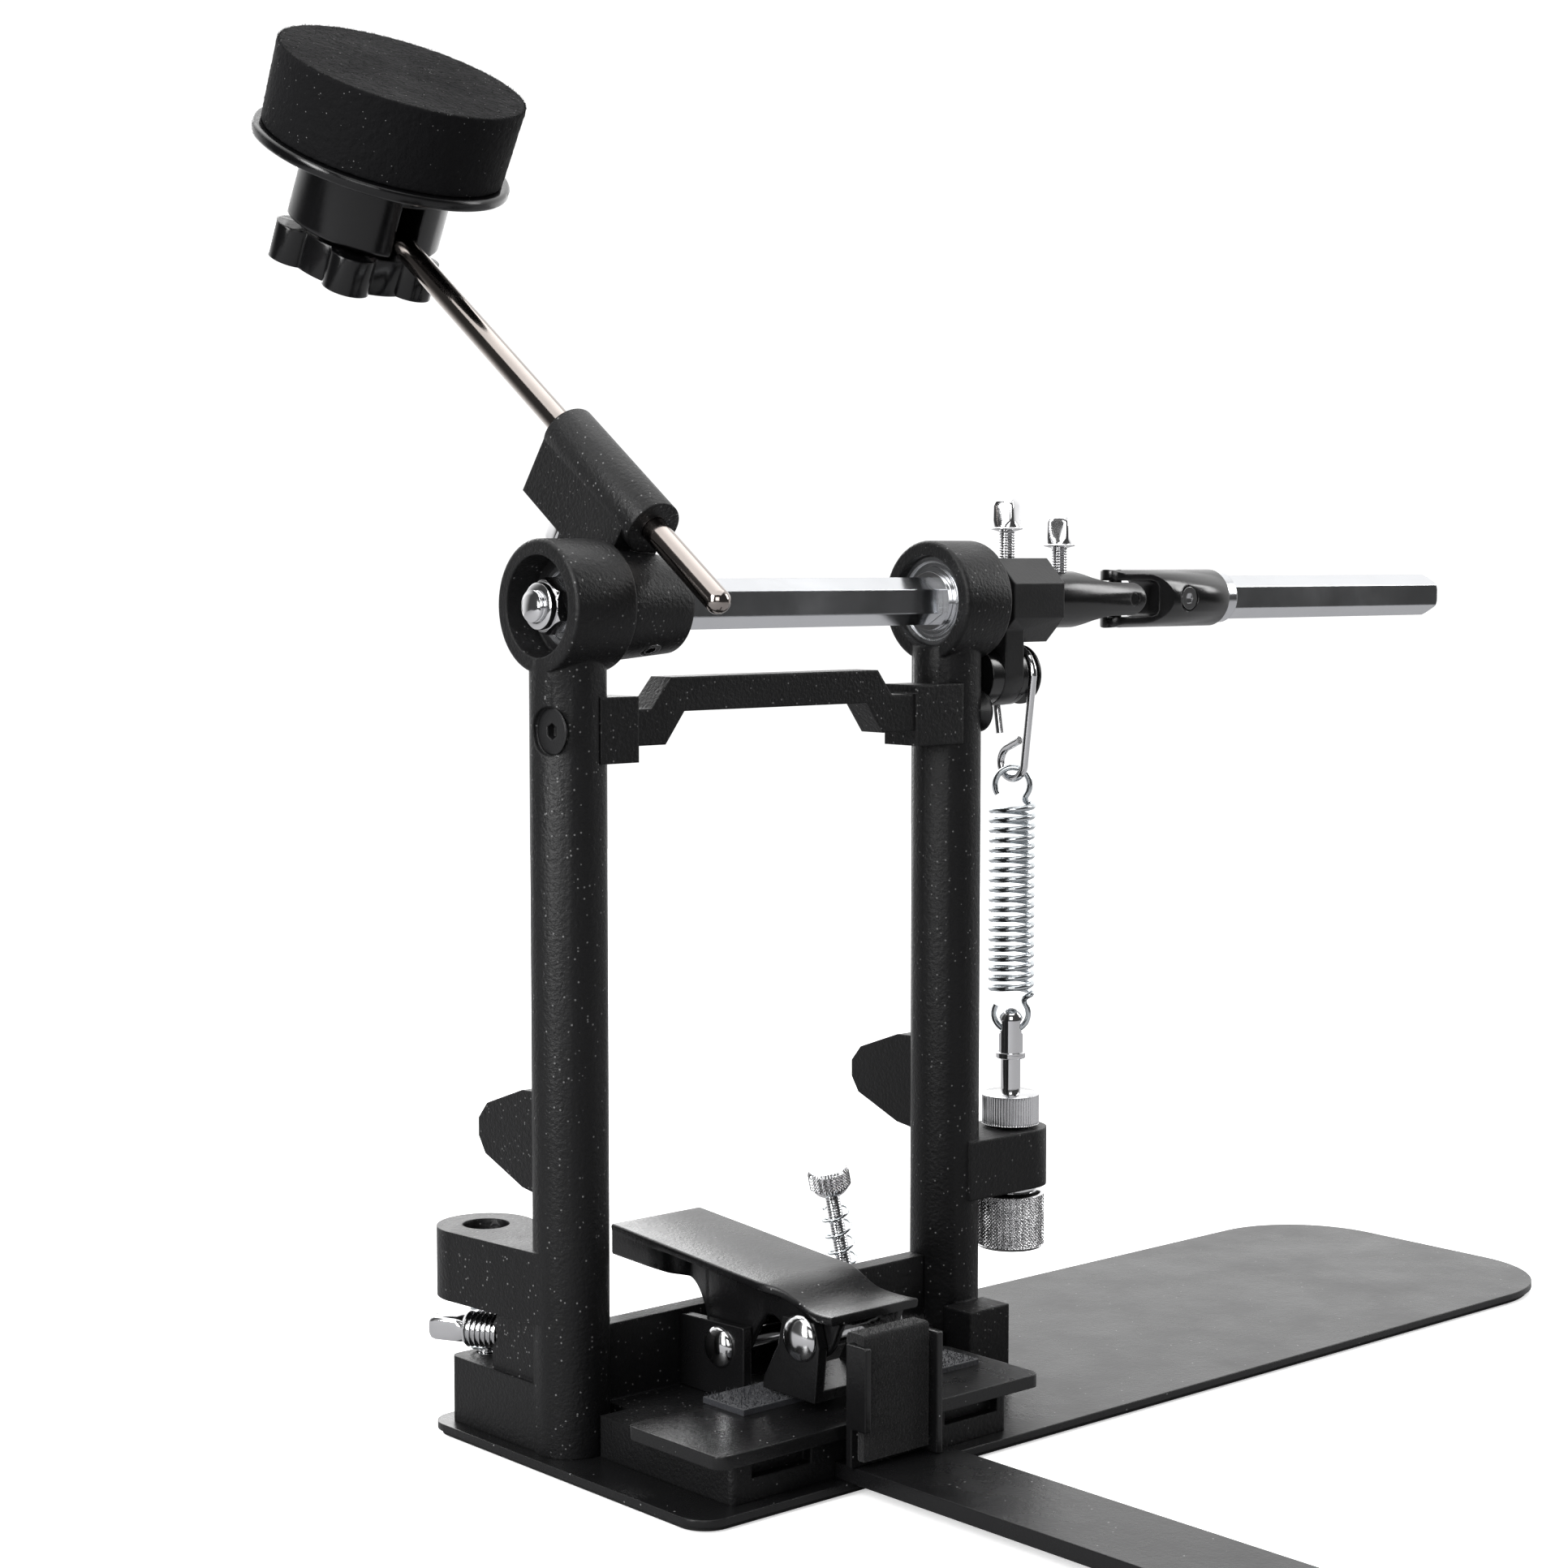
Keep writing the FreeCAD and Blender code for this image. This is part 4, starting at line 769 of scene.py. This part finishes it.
def make_axle_end():
    """Lock nut with chamfered corners and a collar, and the axle's threaded end."""
    dome = lathe([(0.5, -78.4), (6.0, -78.4), (7.6, -76.7), (7.6, -73.1), (6.8, -72.2), (0.5, -72.2)], 96)
    body = carve(hexagon(13, -77.6, -72.3), [("INTERSECT", dome)], 0.2)
    collar = lathe([(4.1, -79.7), (5.5, -79.7), (6.1, -79.3), (6.3, -78.2), (6.3, -77.4), (4.1, -77.4)], 96)
    points, faces = merge(body, collar)
    nut = build("axle_lock_nut", points, faces, "chrome", "axle", AXLE_FRAME, angle=35)
    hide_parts("axle_nut")
    thread_low, thread_high = -81.3, -79.0
    profile = [(0.1, -82.0), (2.8, -82.0), (3.5, -81.6)]
    profile += [(4.25, z) for z in steps(thread_low, thread_high, 60)]
    profile += [(4.0, -78.9)]
    points, faces = lathe(profile, 72, screw_shape(1.0, 0.5, thread_low + 0.05, thread_high - 0.05))
    build("axle_thread", points, faces, "chrome", "axle", AXLE_FRAME, angle=40)


make_inner_fork()
make_outer_fork()
make_axle_end()


# -------------------------------------------------------------- softened castings
def soften(width, *nodes):
    """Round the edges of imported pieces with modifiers; their own meshes stay as they are."""
    for name in nodes:
        item = frame["nodes"][name]
        weld = item.modifiers.new("weld", "WELD")
        weld.merge_threshold = 0.00001
        bevel = item.modifiers.new("bevel", "BEVEL")
        bevel.width = width * MM
        bevel.segments = 3
        bevel.limit_method = "ANGLE"
        bevel.angle_limit = math.radians(38)
        bevel.harden_normals = False
        bevel.use_clamp_overlap = True


soften(0.9, "left_post", "right_post", "crossbar", "beater_holder", "clamp_base")
soften(0.45, "clamp_bracket", "clamp_shoe", "jaw_plate", "stabiliser_bar", "felt_bracket", "rocker")
soften(0.35, "base_plate", "beater_backing", "beater_knob")


# ----------------------------------------------------------------- soft pieces
def make_foam():
    profile = rounded([(0.5, 17.6), (36.2, 17.6), (37, 41.6), (0.5, 41.6)], 0.7, 5)
    fine = [profile[0]]
    for before, after in zip(profile, profile[1:]):
        count = max(1, int(np.linalg.norm(after - before) / 0.9))
        fine.extend(before + (after - before) * share for share in steps(0, 1, count + 1)[1:])
    points, faces = lathe(fine, 240)
    from_axis = np.hypot(points[:, 0], points[:, 1])[:, None]
    points = points + rng.normal(0, 0.06, points.shape) * np.minimum(1, from_axis / 14)
    foam = build("foam_beater_face", points, faces, "foam_rubber", "head", HEAD_FRAME, angle=80)
    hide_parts("beater_foam")
    count = 5200
    reach = 36.9 * np.sqrt(rng.uniform(0, 1, count))
    reach[:1700] = rng.uniform(36.2, 37, 1700)
    around = rng.uniform(0, 2 * math.pi, count)
    spots = np.stack([reach * np.cos(around), reach * np.sin(around), np.full(count, 41.5)], axis=-1)
    up = HEAD_FRAME[0] @ np.array([0, 0, 1.0])
    strands("foam_fuzz", place(spots, HEAD_FRAME), np.repeat(up[None], count, axis=0), 0.45, 0.12, "foam_rubber",
            "head", curl=0.3)


def strands(name, spots, directions, length, width, surface_name, body, curl=0.5):
    """Short curled fibres standing on a surface."""
    points, faces = [], []
    for spot, direction in zip(spots, directions):
        side = np.cross(direction, rng.normal(size=3))
        side /= np.linalg.norm(side)
        size = length * rng.uniform(0.5, 1.3)
        lean = rng.normal(0, curl, 3)
        start = len(points)
        for share in (0, 0.35, 0.7, 1.0):
            centre = spot + direction * size * share * (1 - 0.3 * share) + lean * size * share ** 2
            half = side * width / 2 * (1.05 - share * 0.8)
            points.extend([centre - half, centre + half])
        for step in range(3):
            a = start + step * 2
            faces.append((a, a + 1, a + 3, a + 2))
    return build(name, np.array(points), faces, surface_name, body, angle=80)


def box_spots(low, high, count, faces_used):
    """Random spots on chosen sides of a box, with the sides' outward directions."""
    low, high = np.array(low, float), np.array(high, float)
    spots, directions = [], []
    for axis, sign, share in faces_used:
        number = int(count * share)
        found = rng.uniform(low, high, (number, 3))
        found[:, axis] = high[axis] if sign > 0 else low[axis]
        direction = np.zeros(3)
        direction[axis] = sign
        spots.append(found)
        directions.append(np.repeat(direction[None], number, axis=0))
    return np.vstack(spots), np.vstack(directions)


def make_felt():
    """Felt strip over the bracket's edge, with lint."""
    outline = rounded([(-75.05, 9.5), (-75.05, 42.45), (-68.4, 42.45), (-68.4, 36), (-70.4, 36), (-70.4, 40.1),
                       (-72.65, 40.1), (-72.65, 9.5), (-74, 9.5)], 1.2, 6)
    points, faces = prism_shape([tuple(point) for point in outline], -32.7, -9.8)
    swapped = np.stack([points[:, 2], points[:, 0], points[:, 1]], axis=-1)
    felt = build("felt_strip", swapped, faces, "black_felt", "frame", angle=40)
    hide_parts("felt_pad")
    spots, directions = box_spots((-32.7, -75.05, 9.6), (-9.8, -68.4, 42.45), 3200,
                                  ((1, -1, 0.6), (2, 1, 0.25), (0, 1, 0.05), (0, -1, 0.1)))
    keep = (spots[:, 1] < -72.8) | (spots[:, 2] > 40.3)
    strands("felt_lint", spots[keep], directions[keep], 1.0, 0.09, "black_felt", "frame", curl=0.9)


def make_hooks():
    """Tiny hooks of the grip pads."""
    found = []
    for low, high in (((-48.2, -45.8, 19.77), (-16.8, -29.8, 19.78)), ((18.2, -51.8, 19.77), (31.8, -37.2, 19.78))):
        area = (high[0] - low[0]) * (high[1] - low[1])
        found.append(rng.uniform(low, high, (int(area * 2.2), 3)))
    spots = np.vstack(found)
    strands("tape_hooks", spots, np.repeat([[0, 0, 1.0]], len(spots), axis=0), 0.85, 0.28, "hook_tape", "frame",
            curl=0.45)


make_foam()
make_felt()
make_hooks()


# -------------------------------------------------------------- camera, lights
def area_light(name, position, target, size, power, color=(1, 1, 1)):
    data = bpy.data.lights.new(name, "AREA")
    data.shape = "RECTANGLE"
    data.size, data.size_y = size
    data.energy = power
    data.color = color
    lamp = bpy.data.objects.new(name, data)
    bpy.context.scene.collection.objects.link(lamp)
    lamp.location = position
    aim = Vector(target) - Vector(position)
    lamp.rotation_euler = aim.to_track_quat("-Z", "Y").to_euler()
    return lamp


def make_camera():
    data = bpy.data.cameras.new("camera")
    data.sensor_width = 36
    data.lens = 66.45
    data.clip_start, data.clip_end = 0.05, 30
    camera = bpy.data.objects.new("camera", data)
    bpy.context.scene.collection.objects.link(camera)
    heading, pitch = math.radians(48.66), math.radians(-4.43)
    forward = Vector((math.cos(heading) * math.cos(pitch), math.sin(heading) * math.cos(pitch), math.sin(pitch)))
    camera.location = (-0.5279, -0.6068, 0.2403)
    camera.rotation_euler = forward.to_track_quat("-Z", "Y").to_euler()
    bpy.context.scene.camera = camera


def backdrop(tree, seen, unseen, target):
    """Show one shader to the camera and light the object with another."""
    sight = tree.nodes.new("ShaderNodeLightPath")
    choose = tree.nodes.new("ShaderNodeMixShader")
    tree.links.new(sight.outputs["Is Camera Ray"], choose.inputs["Fac"])
    tree.links.new(unseen.outputs[0], choose.inputs[1])
    tree.links.new(seen.outputs[0], choose.inputs[2])
    tree.links.new(choose.outputs["Shader"], tree.nodes[target].inputs["Surface"])


def make_studio():
    """Pale floor and backdrop that throw back little light, and soft lights with a dim surround."""
    material = bpy.data.materials.new("pale_floor")
    material.use_nodes = True
    shader = material.node_tree.nodes["Principled BSDF"]
    shader.inputs["Base Color"].default_value = (0.9, 0.9, 0.9, 1)
    shader.inputs["Roughness"].default_value = 0.8
    shader.inputs["Specular IOR Level"].default_value = 0.1
    shader.inputs["Emission Color"].default_value = (1, 1, 1, 1)
    shader.inputs["Emission Strength"].default_value = 0.5
    dim = material.node_tree.nodes.new("ShaderNodeBsdfDiffuse")
    dim.inputs["Color"].default_value = (0.3, 0.3, 0.305, 1)
    backdrop(material.node_tree, shader, dim, "Material Output")
    size = 1300
    points = [(-size, -size, -0.4), (size, -size, -0.4), (size, size, -0.4), (-size, size, -0.4)]
    floor = build("floor", points, [(0, 1, 2, 3)], "satin_black_plate", None, flat=True)
    floor.data.materials.clear()
    floor.data.materials.append(material)
    world = bpy.data.worlds.new("studio")
    bpy.context.scene.world = world
    world.use_nodes = True
    tree = world.node_tree
    background = tree.nodes["Background"]
    background.inputs["Color"].default_value = (1, 1, 1, 1)
    background.inputs["Strength"].default_value = 1.1
    surround = tree.nodes.new("ShaderNodeBackground")
    surround.inputs["Strength"].default_value = 1.0
    where = tree.nodes.new("ShaderNodeTexCoord")
    facing = tree.nodes.new("ShaderNodeVectorMath")
    facing.operation = "DOT_PRODUCT"
    facing.inputs[1].default_value = (0.62, 0.7, 0.35)
    tree.links.new(where.outputs["Generated"], facing.inputs[0])
    rise = tree.nodes.new("ShaderNodeMapRange")
    rise.interpolation_type = "SMOOTHSTEP"
    rise.inputs["From Min"].default_value = 0.15
    rise.inputs["From Max"].default_value = 0.75
    rise.inputs["To Min"].default_value = 0.07
    rise.inputs["To Max"].default_value = 1.35
    tree.links.new(facing.outputs["Value"], rise.inputs["Value"])
    tree.links.new(rise.outputs["Result"], surround.inputs["Color"])
    backdrop(tree, background, surround, "World Output")
    area_light("overhead", (-0.1, 0.1, 1.7), (0, 0, 0), (2.4, 2.4), 34)
    area_light("left_softbox", (-1.5, -0.1, 0.75), (0, 0, 0.2), (0.5, 1.3), 32)
    area_light("right_softbox", (1.45, -0.75, 0.95), (0, 0, 0.2), (0.4, 0.9), 9)
    area_light("front_softbox", (-1.15, -1.25, 0.75), (0, 0, 0.2), (0.9, 0.9), 9)
    area_light("rear_softbox", (0.6, 1.5, 0.9), (0, 0, 0.2), (1.0, 0.8), 12)


make_camera()
make_studio()
bpy.context.scene.view_settings.view_transform = "Standard"
